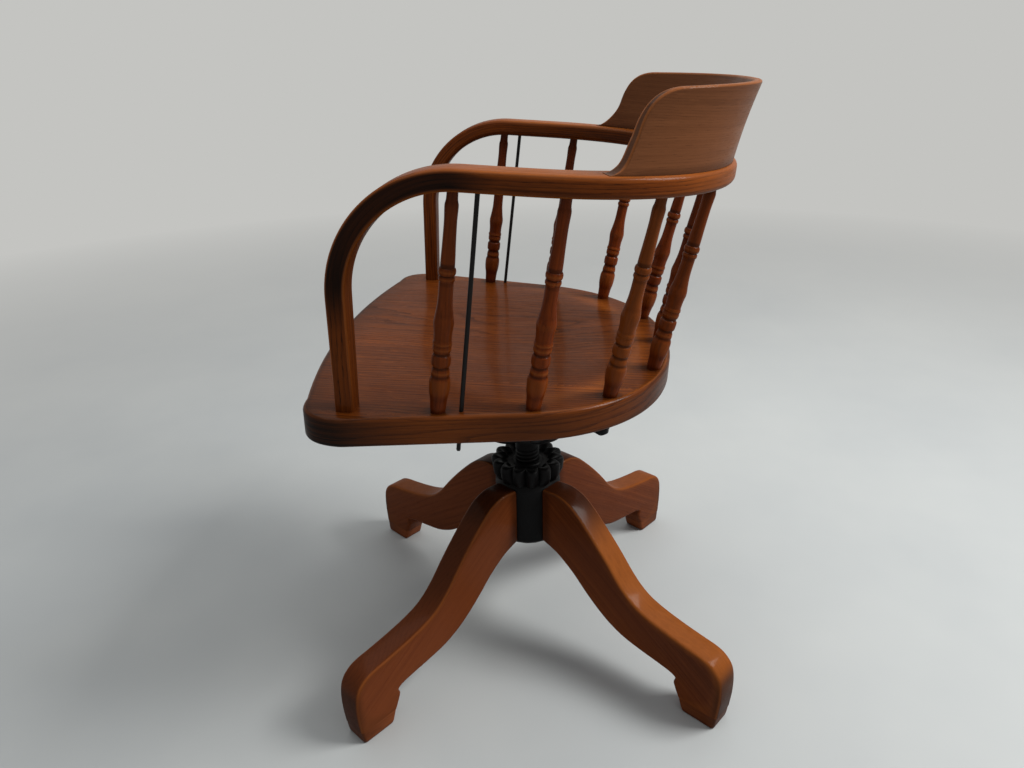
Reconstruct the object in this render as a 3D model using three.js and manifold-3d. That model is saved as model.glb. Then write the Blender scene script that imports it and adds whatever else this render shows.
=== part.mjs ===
// Bankers swivel chair: a bent arm bow with a swept crest rail on nine turned spindles,
// a saddled D-shaped seat on a four-armed iron, a keyed height screw with a lobed handwheel,
// and an iron hub with four curved wooden legs.
// Millimetres. The origin is on the floor at the swivel axis, +Z is up and the sitter faces -Y.
import * as THREE from 'three';
import { mergeVertices } from 'three/addons/utils/BufferGeometryUtils.js';
import Module from 'manifold-3d';

const wasm = await Module();
wasm.setup();

// Fits
const glueGap = 0.3;          // left between pieces that are glued, screwed or pressed home
const socketPlay = 0.8;       // wider, so that a facet of the peg clears a facet of the socket
const runningGap = 0.3;       // round and under the pieces that turn or slide
const cutOverrun = 4;         // how far a cutter stands past the face it leaves

// Stance of the seat and the arms
const seatHeight = 460;       // top of the seat over the floor, at the swivel axis
const seatRakeDeg = 2.3;      // the seat falls towards the back
const armFallDeg = 1.8;       // the arms fall a little more than the seat does
const armClearHeight = 229;   // underside of the arms over the seat, at the swivel axis

// Seat
const seatThickness = 34;
const seatEdgeRound = 4;
const seatFront = 247;        // front edge ahead of the axis, on the centre line
const seatBack = 190;         // back edge behind the axis, on the centre line
const seatFrontHalfWidth = 274;
const seatSideTaper = 37;     // the straight side comes in by this much
const seatWaistY = 20;
const seatFrontBow = 24;      // the front edge bows forward by this much
const seatCorner = 50;        // length taken by each rounded front corner
const seatSideBulge = 92;     // length of the handle that leads the side into the back curve
const seatBackHandle = 142;   // length of the handle that flattens the back curve
const saddleDepth = 5;
const saddleHalfWidth = 196;
const saddleHalfLength = 156;
const saddleCentreY = -14;

// Arm bow
const armHalfSpan = 265;      // outer edge of an arm from the centre line
const armBack = 237;          // outer edge at the back, behind the arm frame's origin
const armCurveStartY = -3;    // where the straight arm turns into the back curve
const armCurvePower = 2.315;  // exponent of the superellipse of the back curve
const armWidth = 42;
const armThickness = 21;
const armEdgeRound = 5;
const armBendRadius = 118;    // of the middle line where the arm bends down into the post
const armPostY = -168;        // middle of the post where the bend starts
const postFootWidth = 25;
const postFootThickness = 20;
const postTenonRadius = 7;
const postTenonLength = 20;

// Crest rail
const crestInset = 5;         // the arm shows as a ledge this wide outside the crest
const crestHeight = 77;       // over the arm, at the back
const crestFootThickness = 18;
const crestTopThickness = 12;
const crestToeHeight = 1.5;   // the feathered end that dies into the arm
const crestHalfLength = 316;  // from the back to each toe, along the arm's outer edge
const crestSweepLength = 80;  // length over which the end sweeps up to full height
const crestBackLeanDeg = 13.5;
const crestSideLeanDeg = -14;
const crestTopRound = 3.5;
const crestScrewRadius = 2.2;
const crestScrewHeadRadius = 4.4;
const crestScrewHeadHeight = 3;
const crestScrewBite = 13;    // how far a screw goes into the crest

// Spindles
const spindleFootInset = 14;  // centre of a foot from the seat's edge
const spindleMaxRadius = 11.1;
const spindleFootTenon = 18;
const spindleHeadTenon = 13;

// Tie rods
const rodRadius = 2.8;
const rodArmBite = 14;
const rodTail = 15;           // how far a rod stands out below the seat
const rodInset = 12;          // centre of a rod's foot from the seat's edge
const rodNutRadius = 5.6;
const rodNutHeight = 5;
const rodWasherRadius = 6.4;
const rodWasherThickness = 1.2;
const rodPocketDepth = 8;     // of the counterbore that takes a rod's washer and nut

// Seat iron
const ironBossRadius = 24;
const ironBossHeight = 42;
const ironArmWidth = 22;
const ironArmThickness = 13;
const ironPadThickness = 9;
const ironPadRadius = 13;
const ironPadFrontSideInset = 80;   // centre of a front pad from the seat's greatest half width
const ironPadBackSideInset = 52;    // centre of a back pad from the half width at the waist
const ironPadFrontInset = 127;    // centre of a front pad from the seat's front edge
const ironPadBackInset = 90;  // centre of a back pad from the seat's back edge
const padScrewRadius = 2.6;
const padScrewHeadRadius = 5.6;
const padScrewHeadHeight = 3;
const padScrewLength = 21;

// Height screw and its bearing
const screwRadius = 17;
const screwBottom = 151;      // over the floor at the usual height
const screwChamfer = 2;
const collarBottom = 301;
const collarHeight = 6;
const collarRadius = 19;
const pivotRadius = 12;
const pivotEndRadius = 9.5;
const pivotEndLength = 20;
const keywayWidth = 6;
const keywayDepth = 3.5;
const keyLength = 44;
const thrustWasherThickness = 3;
const thrustWasherRadius = 21;
const topWasherThickness = 2.4;
const topNutRadius = 18;
const topNutHeight = 10;
const nutSides = 6;
const retainingPinRadius = 1.6;
const retainingPinLength = 30;

// Handwheel
const wheelHeight = 26;
const wheelTopRadius = 47.5;
const wheelBottomRadius = 39;
const wheelLobeDepth = 4.6;
const wheelLobes = 14;
const wheelRecessRadius = 34;
const wheelRecessDepth = 11;
const wheelBossRadius = 22;
const wheelEdge = 3;          // taken off the rim and the boss where they are rounded

// Hub
const hubTop = 250;
const hubBottom = 156;
const hubRadius = 47;
const hubRoofThickness = 6;
const hubCore = 24;           // half width of the square core that the legs butt against
const hubPlateThickness = 4;
const hubPlateInset = 5;      // the plate is this much smaller than the hub all round
const plateScrewRadius = 2.6;
const plateScrewHeadRadius = 5;
const plateScrewHeadHeight = 2.6;
const plateScrewLength = 26;
const plateScrewInset = 7;    // centre of a plate screw from the plate's edge

// Legs
const legAngleDeg = 51.8;     // direction of the first leg from +X
const legCount = 4;
const legReach = 340;
const legThickness = 37;
const legEdgeRound = 3.5;
const footBlockHeight = 20;
const footBlockLength = 49;
const footToeInset = 4;       // the block ends this far inside the leg's toe
const footBlockInset = 1.5;   // the block is this much slimmer than the leg on each side

// Rounding of thin sections
const edgeRoundShare = 0.33;  // of the thickness, taken by one rounded edge
const headEdgeShare = 0.33;   // of a screw head's height, left upright at its rim

// Facets
const roundSteps = 20;
const smallRoundSteps = 8;
const spindleSteps = 9;
const cornerSteps = 2;
const curveSteps = 9;
const saddleSteps = 4;
const stepsPerLobe = 4;
const ironArmSteps = 7;
const sweepSteps = 12;
const crestMiddleSteps = 22;
const postStations = 3;
const bendStations = 7;
const backStations = 28;
const armPlanSamples = 160;

const ROUND_SHARE = 1 - Math.SQRT1_2;
const UP = new THREE.Vector3(0, 0, 1);
const radians = (degrees) => THREE.MathUtils.degToRad(degrees);

// Materials
const material = (color, roughness, metalness) => (
  new THREE.MeshStandardMaterial({ color, roughness, metalness })
);
const oak = material('#8a4a1f', 0.45, 0);
const oakDark = material('#5c2c14', 0.5, 0);
const iron = material('#17171a', 0.55, 0.8);
const steel = material('#2b2a2b', 0.4, 0.9);

// Frames: the seat top and the arm underside are planes of their own
const frame = (parent, height, fallDeg) => (
  parent.clone()
    .multiply(new THREE.Matrix4().makeTranslation(0, 0, height))
    .multiply(new THREE.Matrix4().makeRotationX(-radians(fallDeg)))
);
const chairFrame = new THREE.Matrix4();
const seatFrame = frame(chairFrame, seatHeight, seatRakeDeg);
const armFrame = frame(seatFrame, armClearHeight, armFallDeg);
const at = (matrix, x, y, z) => new THREE.Vector3(x, y, z).applyMatrix4(matrix);
const into = (matrix, point) => point.clone().applyMatrix4(matrix.clone().invert());

// Solids
function welded(geometry) {
  const bare = geometry.clone();
  bare.deleteAttribute('normal');
  bare.deleteAttribute('uv');
  const merged = mergeVertices(bare);
  const source = merged.index.array;
  const kept = [];
  for (let i = 0; i < source.length; i += 3) {
    const [a, b, c] = [source[i], source[i + 1], source[i + 2]];
    if (a !== b && b !== c && c !== a) kept.push(a, b, c);
  }
  merged.setIndex(kept);
  return merged;
}

function solid(geometry) {
  const merged = welded(geometry);
  const vertProperties = Float32Array.from(merged.attributes.position.array);
  const triVerts = Uint32Array.from(merged.index.array);
  const body = new wasm.Manifold(new wasm.Mesh({ numProp: 3, vertProperties, triVerts }));
  if (body.volume() > 0) return body;
  triVerts.reverse();
  return new wasm.Manifold(new wasm.Mesh({ numProp: 3, vertProperties, triVerts }));
}

function geometryOf(body) {
  const { vertProperties, triVerts } = body.getMesh();
  const geometry = new THREE.BufferGeometry();
  geometry.setAttribute('position', new THREE.BufferAttribute(vertProperties, 3));
  geometry.setIndex(new THREE.BufferAttribute(triVerts, 1));
  geometry.computeVertexNormals();
  return geometry;
}

const joined = (parts) => parts.map(solid).reduce((all, next) => all.add(next));
const carve = (body, cutters) => cutters.map(solid).reduce((left, next) => left.subtract(next), body);

// A turned shape about Z from [radius, height] pairs, outside first and bottom to top
function turned(profile, steps) {
  const points = profile.map(([radius, height]) => new THREE.Vector2(radius, height));
  return new THREE.LatheGeometry(points, steps).rotateX(Math.PI / 2);
}

function rod(radius, bottom, top, steps) {
  return turned([[0, bottom], [radius, bottom], [radius, top], [0, top]], steps);
}

function ring(inner, outer, bottom, top, steps) {
  const section = [[outer, bottom], [outer, top], [inner, top], [inner, bottom], [outer, bottom]];
  return turned(section, steps);
}

function box(x0, x1, y0, y1, z0, z1) {
  const size = new THREE.Vector3(x1 - x0, y1 - y0, z1 - z0);
  return new THREE.BoxGeometry(size.x, size.y, size.z)
    .translate((x0 + x1) / 2, (y0 + y1) / 2, (z0 + z1) / 2);
}

// A closed solid through rings of points, each ring listed the same way round
function lofted(rings) {
  const around = rings[0].length;
  const positions = rings.flat().flatMap((point) => point.toArray());
  const index = [];
  for (let i = 0; i < rings.length - 1; i += 1) {
    for (let j = 0; j < around; j += 1) {
      const a = i * around + j;
      const b = i * around + ((j + 1) % around);
      index.push(a, b, b + around, a, b + around, a + around);
    }
  }
  const cap = (ringNumber, flip) => {
    const middle = new THREE.Vector3();
    rings[ringNumber].forEach((point) => middle.addScaledVector(point, 1 / around));
    const centre = positions.length / 3;
    positions.push(...middle.toArray());
    for (let j = 0; j < around; j += 1) {
      const a = ringNumber * around + j;
      const b = ringNumber * around + ((j + 1) % around);
      index.push(centre, flip ? a : b, flip ? b : a);
    }
  };
  cap(0, false);
  cap(rings.length - 1, true);
  const geometry = new THREE.BufferGeometry();
  geometry.setAttribute('position', new THREE.Float32BufferAttribute(positions, 3));
  geometry.setIndex(index);
  return geometry;
}

// A rounded rectangle of points [across, up], counted from the lower outer corner
function roundedSection(width, thickness, round, steps) {
  const points = [];
  const corners = [[1, -1], [1, 1], [-1, 1], [-1, -1]];
  corners.forEach(([sideX, sideY], number) => {
    for (let step = 0; step <= steps; step += 1) {
      const turn = (number - 1 + step / steps) * (Math.PI / 2);
      points.push([
        sideX * (width / 2 - round) + round * Math.cos(turn),
        sideY * (thickness / 2 - round) + round * Math.sin(turn),
      ]);
    }
  });
  return points;
}

// The matrix that stands a shape drawn along +Z on one point and aims it at another
function aimed(from, to) {
  const direction = to.clone().sub(from).normalize();
  const turn = new THREE.Quaternion().setFromUnitVectors(UP, direction);
  return new THREE.Matrix4().compose(from, turn, new THREE.Vector3(1, 1, 1));
}

const chair = new THREE.Group();
function piece(name, geometry, look, matrix = chairFrame) {
  const mesh = new THREE.Mesh(geometry, look);
  mesh.name = name;
  mesh.applyMatrix4(matrix);
  chair.add(mesh);
}

// Seat outline, half of it: bowed front, round corner, straight tapering side, curved back
const seatWaistHalfWidth = seatFrontHalfWidth - seatSideTaper;
function halfSeatPath() {
  const frontY = -seatFront;
  const cornerY = frontY + seatFrontBow;
  const side = new THREE.Vector2(seatWaistHalfWidth, seatWaistY);
  const sideTop = new THREE.Vector2(seatFrontHalfWidth, cornerY + seatCorner);
  const along = side.clone().sub(sideTop).normalize();
  const handle = side.clone().addScaledVector(along, seatSideBulge);
  const cornerX = seatFrontHalfWidth - seatCorner;
  const path = new THREE.Path();
  path.moveTo(0, frontY);
  path.quadraticCurveTo(cornerX / 2, frontY, cornerX, cornerY);
  path.quadraticCurveTo(seatFrontHalfWidth, cornerY, sideTop.x, sideTop.y);
  path.lineTo(side.x, side.y);
  path.bezierCurveTo(handle.x, handle.y, seatBackHandle, seatBack, 0, seatBack);
  return path;
}
const seatEdge = halfSeatPath();

// A point of the seat's top, set in from the edge, and mirrored where side is -1
function insetSeatPoint(share, inset, side) {
  const point = seatEdge.getPointAt(share);
  const tangent = seatEdge.getTangentAt(share);
  const x = point.x - tangent.y * inset;
  const y = point.y + tangent.x * inset;
  return at(seatFrame, side * x, y, 0);
}

// Arm plan: straight sides and a superellipse back, as the arm's outer edge
function armEdgePoint(turn) {
  const reach = armBack - armCurveStartY;
  const power = 2 / armCurvePower;
  return new THREE.Vector2(
    armHalfSpan * Math.cos(turn) ** power,
    armCurveStartY + reach * Math.sin(turn) ** power,
  );
}
const planStep = 4;           // the inward normal is taken over this length of the edge
const quarterTurn = Math.PI / 2;
const armEdge = new THREE.Path();
armEdge.moveTo(armHalfSpan, armPostY + armBendRadius);
armEdge.lineTo(armHalfSpan, armCurveStartY);
for (let i = 1; i <= armPlanSamples; i += 1) {
  const point = armEdgePoint(Math.min(quarterTurn, (i / armPlanSamples) * quarterTurn));
  armEdge.lineTo(Math.max(0, point.x), point.y);
}
const armEdgeLength = armEdge.getLength();

// Outer edge point and inward normal of the arm at a distance from the back's centre
function armPlan(distance) {
  const side = Math.sign(distance) || 1;
  const share = 1 - Math.abs(distance) / armEdgeLength;
  const spread = planStep / armEdgeLength;
  const low = armEdge.getPointAt(THREE.MathUtils.clamp(share - spread, 0, 1));
  const high = armEdge.getPointAt(THREE.MathUtils.clamp(share + spread, 0, 1));
  const point = armEdge.getPointAt(THREE.MathUtils.clamp(share, 0, 1));
  const tangent = high.sub(low).normalize();
  if (share >= 1) tangent.set(-1, 0);
  const inward = new THREE.Vector2(-tangent.y * side, tangent.x);
  return { edge: new THREE.Vector2(point.x * side, point.y), inward };
}

function armPoint(distance, inset, height) {
  const { edge, inward } = armPlan(distance);
  return new THREE.Vector3(edge.x + inward.x * inset, edge.y + inward.y * inset, height);
}

// Arm bow: post, bend, arm, back, and the same again on the other side
const armTop = armThickness;
const armMiddle = armThickness / 2;

function armSection(centre, across, up, width, thickness) {
  return roundedSection(width, thickness, armEdgeRound, cornerSteps).map(([x, y]) => (
    centre.clone().addScaledVector(across, x).addScaledVector(up, y)
  ));
}

function postRings(side) {
  const rings = [];
  const middleX = armHalfSpan - armWidth / 2;
  const centreY = armPostY + armBendRadius;
  const lean = -radians(armFallDeg);
  const bendAngle = quarterTurn - lean;
  const start = new THREE.Vector3(
    middleX,
    centreY - armBendRadius * Math.cos(lean),
    armMiddle - armBendRadius + armBendRadius * Math.sin(lean),
  );
  const down = new THREE.Vector3(0, -Math.sin(lean), -Math.cos(lean));
  const toSeat = seatFrame.clone().invert().multiply(armFrame);
  const drop = at(toSeat, start.x, start.y, start.z).z - glueGap;
  const bendLength = armBendRadius * bendAngle;
  const whole = drop + bendLength;
  const add = (centre, up, run) => {
    const share = run / whole;
    const width = THREE.MathUtils.lerp(armWidth, postFootWidth, share);
    const thickness = THREE.MathUtils.lerp(armThickness, postFootThickness, share);
    const mirrored = new THREE.Vector3(centre.x * side, centre.y, centre.z);
    rings.push(armSection(mirrored, new THREE.Vector3(side, 0, 0), up, width, thickness));
  };
  for (let i = 0; i <= postStations; i += 1) {
    const run = drop * (1 - i / postStations);
    const centre = start.clone().addScaledVector(down, run);
    add(centre, new THREE.Vector3(0, -Math.cos(lean), Math.sin(lean)), bendLength + run);
  }
  for (let i = 1; i < bendStations; i += 1) {
    const turn = lean + (bendAngle * i) / bendStations;
    const up = new THREE.Vector3(0, -Math.cos(turn), Math.sin(turn));
    const centre = new THREE.Vector3(middleX, centreY, armMiddle - armBendRadius);
    centre.addScaledVector(up, armBendRadius);
    add(centre, up, bendLength * (1 - i / bendStations));
  }
  return rings;
}

function armBowRings() {
  const rings = postRings(1);
  for (let i = 0; i <= backStations; i += 1) {
    const distance = armEdgeLength * (1 - (2 * i) / backStations);
    const { inward } = armPlan(distance);
    const across = new THREE.Vector3(-inward.x, -inward.y, 0);
    const centre = armPoint(distance, armWidth / 2, armMiddle);
    rings.push(armSection(centre, across, UP, armWidth, armThickness));
  }
  const mirrored = postRings(-1).reverse();
  return rings.concat(mirrored);
}

// Spindle places: shares of the seat's half edge and distances along the arm's outer edge
const spindleFootShares = [0.498, 0.622, 0.745, 0.878, 1];
const spindleHeadShares = [0.981, 0.748, 0.498, 0.225, 0];
const rodFootShare = 0.528;
const rodHeadShare = 0.93;

function spindleEnds(number, side) {
  const foot = insetSeatPoint(spindleFootShares[number], spindleFootInset, side);
  const distance = side * spindleHeadShares[number] * armEdgeLength;
  const head = armPoint(distance, armWidth / 2, 0).applyMatrix4(armFrame);
  return { foot, head };
}

// Turned profile: [share of the length from the foot, share of the greatest radius]
const spindleProfileShares = [
  [0, 0.72], [0.065, 0.83], [0.105, 0.97], [0.14, 1], [0.165, 0.96], [0.183, 0.84], [0.213, 0.82],
  [0.223, 0.76], [0.232, 0.89], [0.278, 0.9], [0.288, 0.76], [0.298, 0.85], [0.348, 0.86],
  [0.353, 0.8], [0.432, 0.935], [0.52, 0.69], [0.612, 0.655], [0.63, 0.74], [0.641, 0.67],
  [0.662, 0.77], [0.684, 0.66], [0.935, 0.6], [0.96, 0.5],
];

const spindleFootRadius = spindleProfileShares[0][1] * spindleMaxRadius;
const spindleHeadRadius = spindleProfileShares.at(-1)[1] * spindleMaxRadius;

function spindleGeometry(length) {
  const body = spindleProfileShares.map(([share, fatness]) => (
    [fatness * spindleMaxRadius, share * length]
  ));
  return turned([
    [0, -spindleFootTenon], [spindleFootRadius, -spindleFootTenon], ...body,
    [spindleHeadRadius, length + spindleHeadTenon], [0, length + spindleHeadTenon],
  ], spindleSteps);
}

// Everything that stands between the seat and the arms, with the matrix that places it
const spindles = [];
for (let number = 0; number < spindleFootShares.length; number += 1) {
  const sides = number === spindleFootShares.length - 1 ? [1] : [1, -1];
  for (const side of sides) {
    const { foot, head } = spindleEnds(number, side);
    const length = foot.distanceTo(head);
    spindles.push({ side, number, length, matrix: aimed(foot, head) });
  }
}

const tieRods = [1, -1].map((side) => {
  const foot = insetSeatPoint(rodFootShare, rodInset, side);
  const distance = side * rodHeadShare * armEdgeLength;
  const head = armPoint(distance, armWidth / 2, 0).applyMatrix4(armFrame);
  return { side, length: foot.distanceTo(head), matrix: aimed(foot, head) };
});

// Along a rod: where it meets the seat's underside, and the floor of the counterbore there
function rodUnderside(matrix) {
  const normal = new THREE.Vector3(0, 0, 1).transformDirection(seatFrame);
  const axis = new THREE.Vector3(0, 0, 1).transformDirection(matrix);
  return -seatThickness / axis.dot(normal);
}
const rodPocketTop = (matrix) => rodUnderside(matrix) + rodPocketDepth;

// Crest rail: a leaning, tapering board that follows the arm and sweeps down at both ends
const sweepUp = new THREE.CurvePath();
const sweepShares = {
  toeHandle: [0.14, 0], lowHandle: [0.33, 0.2], middle: [0.42, 0.48],
  highHandle: [0.5, 0.82], topHandle: [0.66, 0.98], top: [1, 1],
};
const sweepPoint = (name) => new THREE.Vector2(...sweepShares[name]);
sweepUp.add(new THREE.CubicBezierCurve(
  new THREE.Vector2(0, 0), sweepPoint('toeHandle'), sweepPoint('lowHandle'), sweepPoint('middle'),
));
sweepUp.add(new THREE.CubicBezierCurve(
  sweepPoint('middle'), sweepPoint('highHandle'), sweepPoint('topHandle'), sweepPoint('top'),
));

function crestStations() {
  const stations = [];
  for (let i = 0; i <= sweepSteps; i += 1) {
    const point = sweepUp.getPoint(i / sweepSteps);
    stations.push([crestHalfLength - crestSweepLength * point.x, point.y]);
  }
  const inner = crestHalfLength - crestSweepLength;
  const across = [];
  for (let i = 1; i < crestMiddleSteps; i += 1) {
    across.push([inner * (1 - (2 * i) / crestMiddleSteps), 1]);
  }
  const mirrored = stations.map(([distance, rise]) => [-distance, rise]).reverse();
  return [...stations, ...across, ...mirrored];
}

const crestLevel = at(armFrame, 0, armBack - armWidth / 2, armTop).z + crestHeight;

function crestRing(distance, rise) {
  const { inward } = armPlan(distance);
  const base = at(armFrame, ...armPoint(distance, crestInset, armTop).toArray());
  const full = crestLevel - base.z;
  const height = Math.max(crestToeHeight, rise * full);
  const backness = Math.abs(inward.y);
  const leanDeg = THREE.MathUtils.lerp(crestSideLeanDeg, crestBackLeanDeg, backness);
  const slope = Math.tan(radians(leanDeg));
  const round = Math.min(crestTopRound, height * edgeRoundShare);
  const edgeAt = (h, share) => {
    const thickness = THREE.MathUtils.lerp(crestFootThickness, crestTopThickness, h / full);
    return armPoint(distance, crestInset - slope * h + thickness * share, armTop + glueGap + h);
  };
  const shoulder = height - round;
  const roundShare = round / crestTopThickness;
  return [
    edgeAt(0, 0), edgeAt(shoulder / 2, 0), edgeAt(shoulder, 0),
    edgeAt(height - round * ROUND_SHARE, roundShare * ROUND_SHARE), edgeAt(height, roundShare),
    edgeAt(height, 1 - roundShare), edgeAt(height - round * ROUND_SHARE, 1 - roundShare * ROUND_SHARE),
    edgeAt(shoulder, 1), edgeAt(shoulder / 2, 1), edgeAt(0, 1),
  ];
}

function crestGeometry() {
  return lofted(crestStations().map(([distance, rise]) => crestRing(distance, rise)));
}

const crestScrewShares = [0.125, 0.36, 0.56];
const crestScrewInset = crestInset + crestFootThickness / 2;
const crestScrewTop = armTop + crestScrewBite;
const crestScrewPlaces = crestScrewShares.flatMap((share) => (
  [1, -1].map((side) => armPoint(side * share * armEdgeLength, crestScrewInset, 0))
));

function crestScrewGeometry(gap) {
  const bottom = gap > 0 ? -cutOverrun : glueGap;
  const head = crestScrewHeadRadius + gap;
  const shank = crestScrewRadius + gap;
  const top = crestScrewTop + gap;
  return turned([
    [0, bottom], [head, bottom], [head, glueGap], [shank, crestScrewHeadHeight + gap],
    [shank, top], [0, top],
  ], smallRoundSteps);
}

// A cutter drawn in one frame, moved into the frame of the piece that it cuts
function moved(geometry, from, to = chairFrame) {
  return geometry.clone().applyMatrix4(to.clone().invert().multiply(from));
}

function spindleSockets(home, bottom, top, radius) {
  return spindles.map(({ matrix, length }) => (
    moved(rod(radius + socketPlay, bottom(length), top(length), smallRoundSteps), matrix, home)
  ));
}

function armBow() {
  const tenons = [1, -1].map((side) => {
    const foot = postFoot(side);
    const tenon = rod(postTenonRadius, -postTenonLength, cutOverrun, spindleSteps);
    return tenon.translate(foot.x, foot.y, glueGap).applyMatrix4(seatInArm);
  });
  const heads = spindleSockets(
    armFrame,
    (length) => length - cutOverrun,
    (length) => length + spindleHeadTenon + glueGap,
    spindleHeadRadius,
  );
  const rods = tieRods.map(({ matrix, length }) => moved(
    rod(rodRadius + glueGap, length - cutOverrun, length + rodArmBite + glueGap, smallRoundSteps),
    matrix,
    armFrame,
  ));
  const screws = crestScrewPlaces.map(({ x, y }) => crestScrewGeometry(glueGap).translate(x, y, 0));
  return carve(joined([lofted(armBowRings()), ...tenons]), [...heads, ...rods, ...screws]);
}

const seatInArm = armFrame.clone().invert().multiply(seatFrame);
function postFoot(side) {
  const ringPoints = postRings(1)[0];
  const middle = new THREE.Vector3();
  ringPoints.forEach((point) => middle.addScaledVector(point, 1 / ringPoints.length));
  const foot = into(seatInArm, middle);
  return new THREE.Vector3(side * foot.x, foot.y, 0);
}

// Seat: the outline with rounded edges, a saddle, and the sockets of what stands on it
function seatShape() {
  const half = seatEdge.getPoints(curveSteps);
  const other = half.slice(1, -1).reverse().map((point) => new THREE.Vector2(-point.x, point.y));
  return new THREE.Shape([...half, ...other]);
}

function saddleCutter() {
  const bowl = [];
  for (let i = 0; i <= saddleSteps; i += 1) {
    const share = i / saddleSteps;
    bowl.push([share, -saddleDepth * (1 - share ** 2) ** 2]);
  }
  const profile = [...bowl, [1, cutOverrun], [0, cutOverrun]];
  return turned(profile, roundSteps)
    .scale(saddleHalfWidth, saddleHalfLength, 1)
    .translate(0, saddleCentreY, 0);
}

function seat() {
  const board = new THREE.ExtrudeGeometry(seatShape(), {
    depth: seatThickness - 2 * seatEdgeRound,
    bevelThickness: seatEdgeRound,
    bevelSize: seatEdgeRound,
    bevelOffset: -seatEdgeRound,
    bevelSegments: cornerSteps,
    steps: 1,
  }).translate(0, 0, seatEdgeRound - seatThickness);
  const feet = spindleSockets(
    seatFrame,
    () => -spindleFootTenon - glueGap,
    () => cutOverrun,
    spindleFootRadius,
  );
  const rods = tieRods.map(({ matrix }) => moved(
    rod(rodRadius + glueGap, -2 * seatThickness, cutOverrun, smallRoundSteps),
    matrix,
    seatFrame,
  ));
  const pockets = tieRods.map(({ matrix }) => moved(
    rod(rodWasherRadius + socketPlay, -2 * seatThickness, rodPocketTop(matrix), spindleSteps),
    matrix,
    seatFrame,
  ));
  const posts = [1, -1].map((side) => {
    const hole = rod(postTenonRadius + glueGap, -postTenonLength - glueGap, cutOverrun, spindleSteps);
    const foot = postFoot(side);
    return hole.translate(foot.x, foot.y, 0);
  });
  const screws = ironPads.map(({ x, y }) => (
    rod(padScrewRadius + glueGap, -seatThickness - cutOverrun, padScrewTop + glueGap, smallRoundSteps)
      .translate(x, y, 0)
  ));
  return carve(solid(board), [saddleCutter(), ...feet, ...rods, ...pockets, ...posts, ...screws]);
}

// Seat iron: a boss on the pivot and four arms that sweep up to pads under the seat
const ironBossBottom = collarBottom + collarHeight + thrustWasherThickness + 2 * runningGap;
const ironBossTop = ironBossBottom + ironBossHeight;
const padUnderside = -seatThickness - glueGap - ironPadThickness;
const padScrewTop = padUnderside + padScrewLength;
const ironPadFrontX = seatFrontHalfWidth - ironPadFrontSideInset;
const ironPadBackX = seatWaistHalfWidth - ironPadBackSideInset;
const ironPadFrontY = ironPadFrontInset - seatFront;
const ironPadBackY = seatBack - ironPadBackInset;
const ironPads = [
  [ironPadBackX, ironPadBackY], [-ironPadBackX, ironPadBackY],
  [ironPadFrontX, ironPadFrontY], [-ironPadFrontX, ironPadFrontY],
].map(([x, y]) => ({ x, y, z: padUnderside }));
const ironRootRise = ironArmThickness / 2 + glueGap;
const ironHandleShare = 0.45;
const ironTipShare = 0.75;    // thickness of an arm where it runs into its pad

function ironArm(pad) {
  const end = at(seatFrame, pad.x, pad.y, padUnderside + ironPadThickness / 2);
  const outward = new THREE.Vector3(end.x, end.y, 0).normalize();
  const reach = Math.hypot(end.x, end.y);
  const rootHeight = ironBossBottom + ironRootRise;
  const curve = new THREE.CubicBezierCurve(
    new THREE.Vector2(ironBossRadius / 2, rootHeight),
    new THREE.Vector2(reach * ironHandleShare, rootHeight),
    new THREE.Vector2(reach * (1 - ironHandleShare), end.z),
    new THREE.Vector2(reach, end.z),
  );
  const across = new THREE.Vector3(-outward.y, outward.x, 0);
  const rings = [];
  for (let i = 0; i <= ironArmSteps; i += 1) {
    const share = i / ironArmSteps;
    const point = curve.getPoint(share);
    const tangent = curve.getTangent(share);
    const centre = outward.clone().multiplyScalar(point.x).setZ(point.y);
    const up = outward.clone().multiplyScalar(-tangent.y).setZ(tangent.x);
    const thickness = THREE.MathUtils.lerp(ironArmThickness, ironPadThickness * ironTipShare, share);
    const section = roundedSection(ironArmWidth, thickness, thickness * edgeRoundShare, 1);
    rings.push(section.map(([x, y]) => (
      centre.clone().addScaledVector(across, x).addScaledVector(up, y)
    )));
  }
  return lofted(rings);
}

function seatIron() {
  const boss = rod(ironBossRadius, ironBossBottom, ironBossTop, roundSteps);
  const arms = ironPads.map(ironArm);
  const pads = ironPads.map(({ x, y, z }) => (
    moved(rod(ironPadRadius, 0, ironPadThickness, spindleSteps).translate(x, y, z), seatFrame)
  ));
  const bore = rod(
    pivotRadius + runningGap,
    ironBossBottom - cutOverrun,
    ironBossTop + cutOverrun,
    roundSteps,
  );
  const holes = ironPads.map(({ x, y, z }) => moved(
    rod(padScrewRadius + glueGap, -cutOverrun, ironPadThickness + cutOverrun, smallRoundSteps)
      .translate(x, y, z),
    seatFrame,
  ));
  return carve(joined([boss, ...arms, ...pads]), [bore, ...holes]);
}

function padScrew() {
  const head = padUnderside - glueGap;
  return turned([
    [0, head - padScrewHeadHeight], [padScrewHeadRadius / 2, head - padScrewHeadHeight],
    [padScrewHeadRadius, head - padScrewHeadHeight * headEdgeShare], [padScrewHeadRadius, head],
    [padScrewRadius, head], [padScrewRadius, padScrewTop], [0, padScrewTop],
  ], smallRoundSteps);
}

// Height screw: keyed below, with a collar, a pivot for the seat iron and a nut on top
const collarTop = collarBottom + collarHeight;
const topWasherBottom = ironBossTop + glueGap;
const topNutBottom = topWasherBottom + topWasherThickness + glueGap;
const pivotTop = ironBossTop + pivotEndLength;
const pinHeight = topNutBottom + topNutHeight + 2 * retainingPinRadius;

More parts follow.
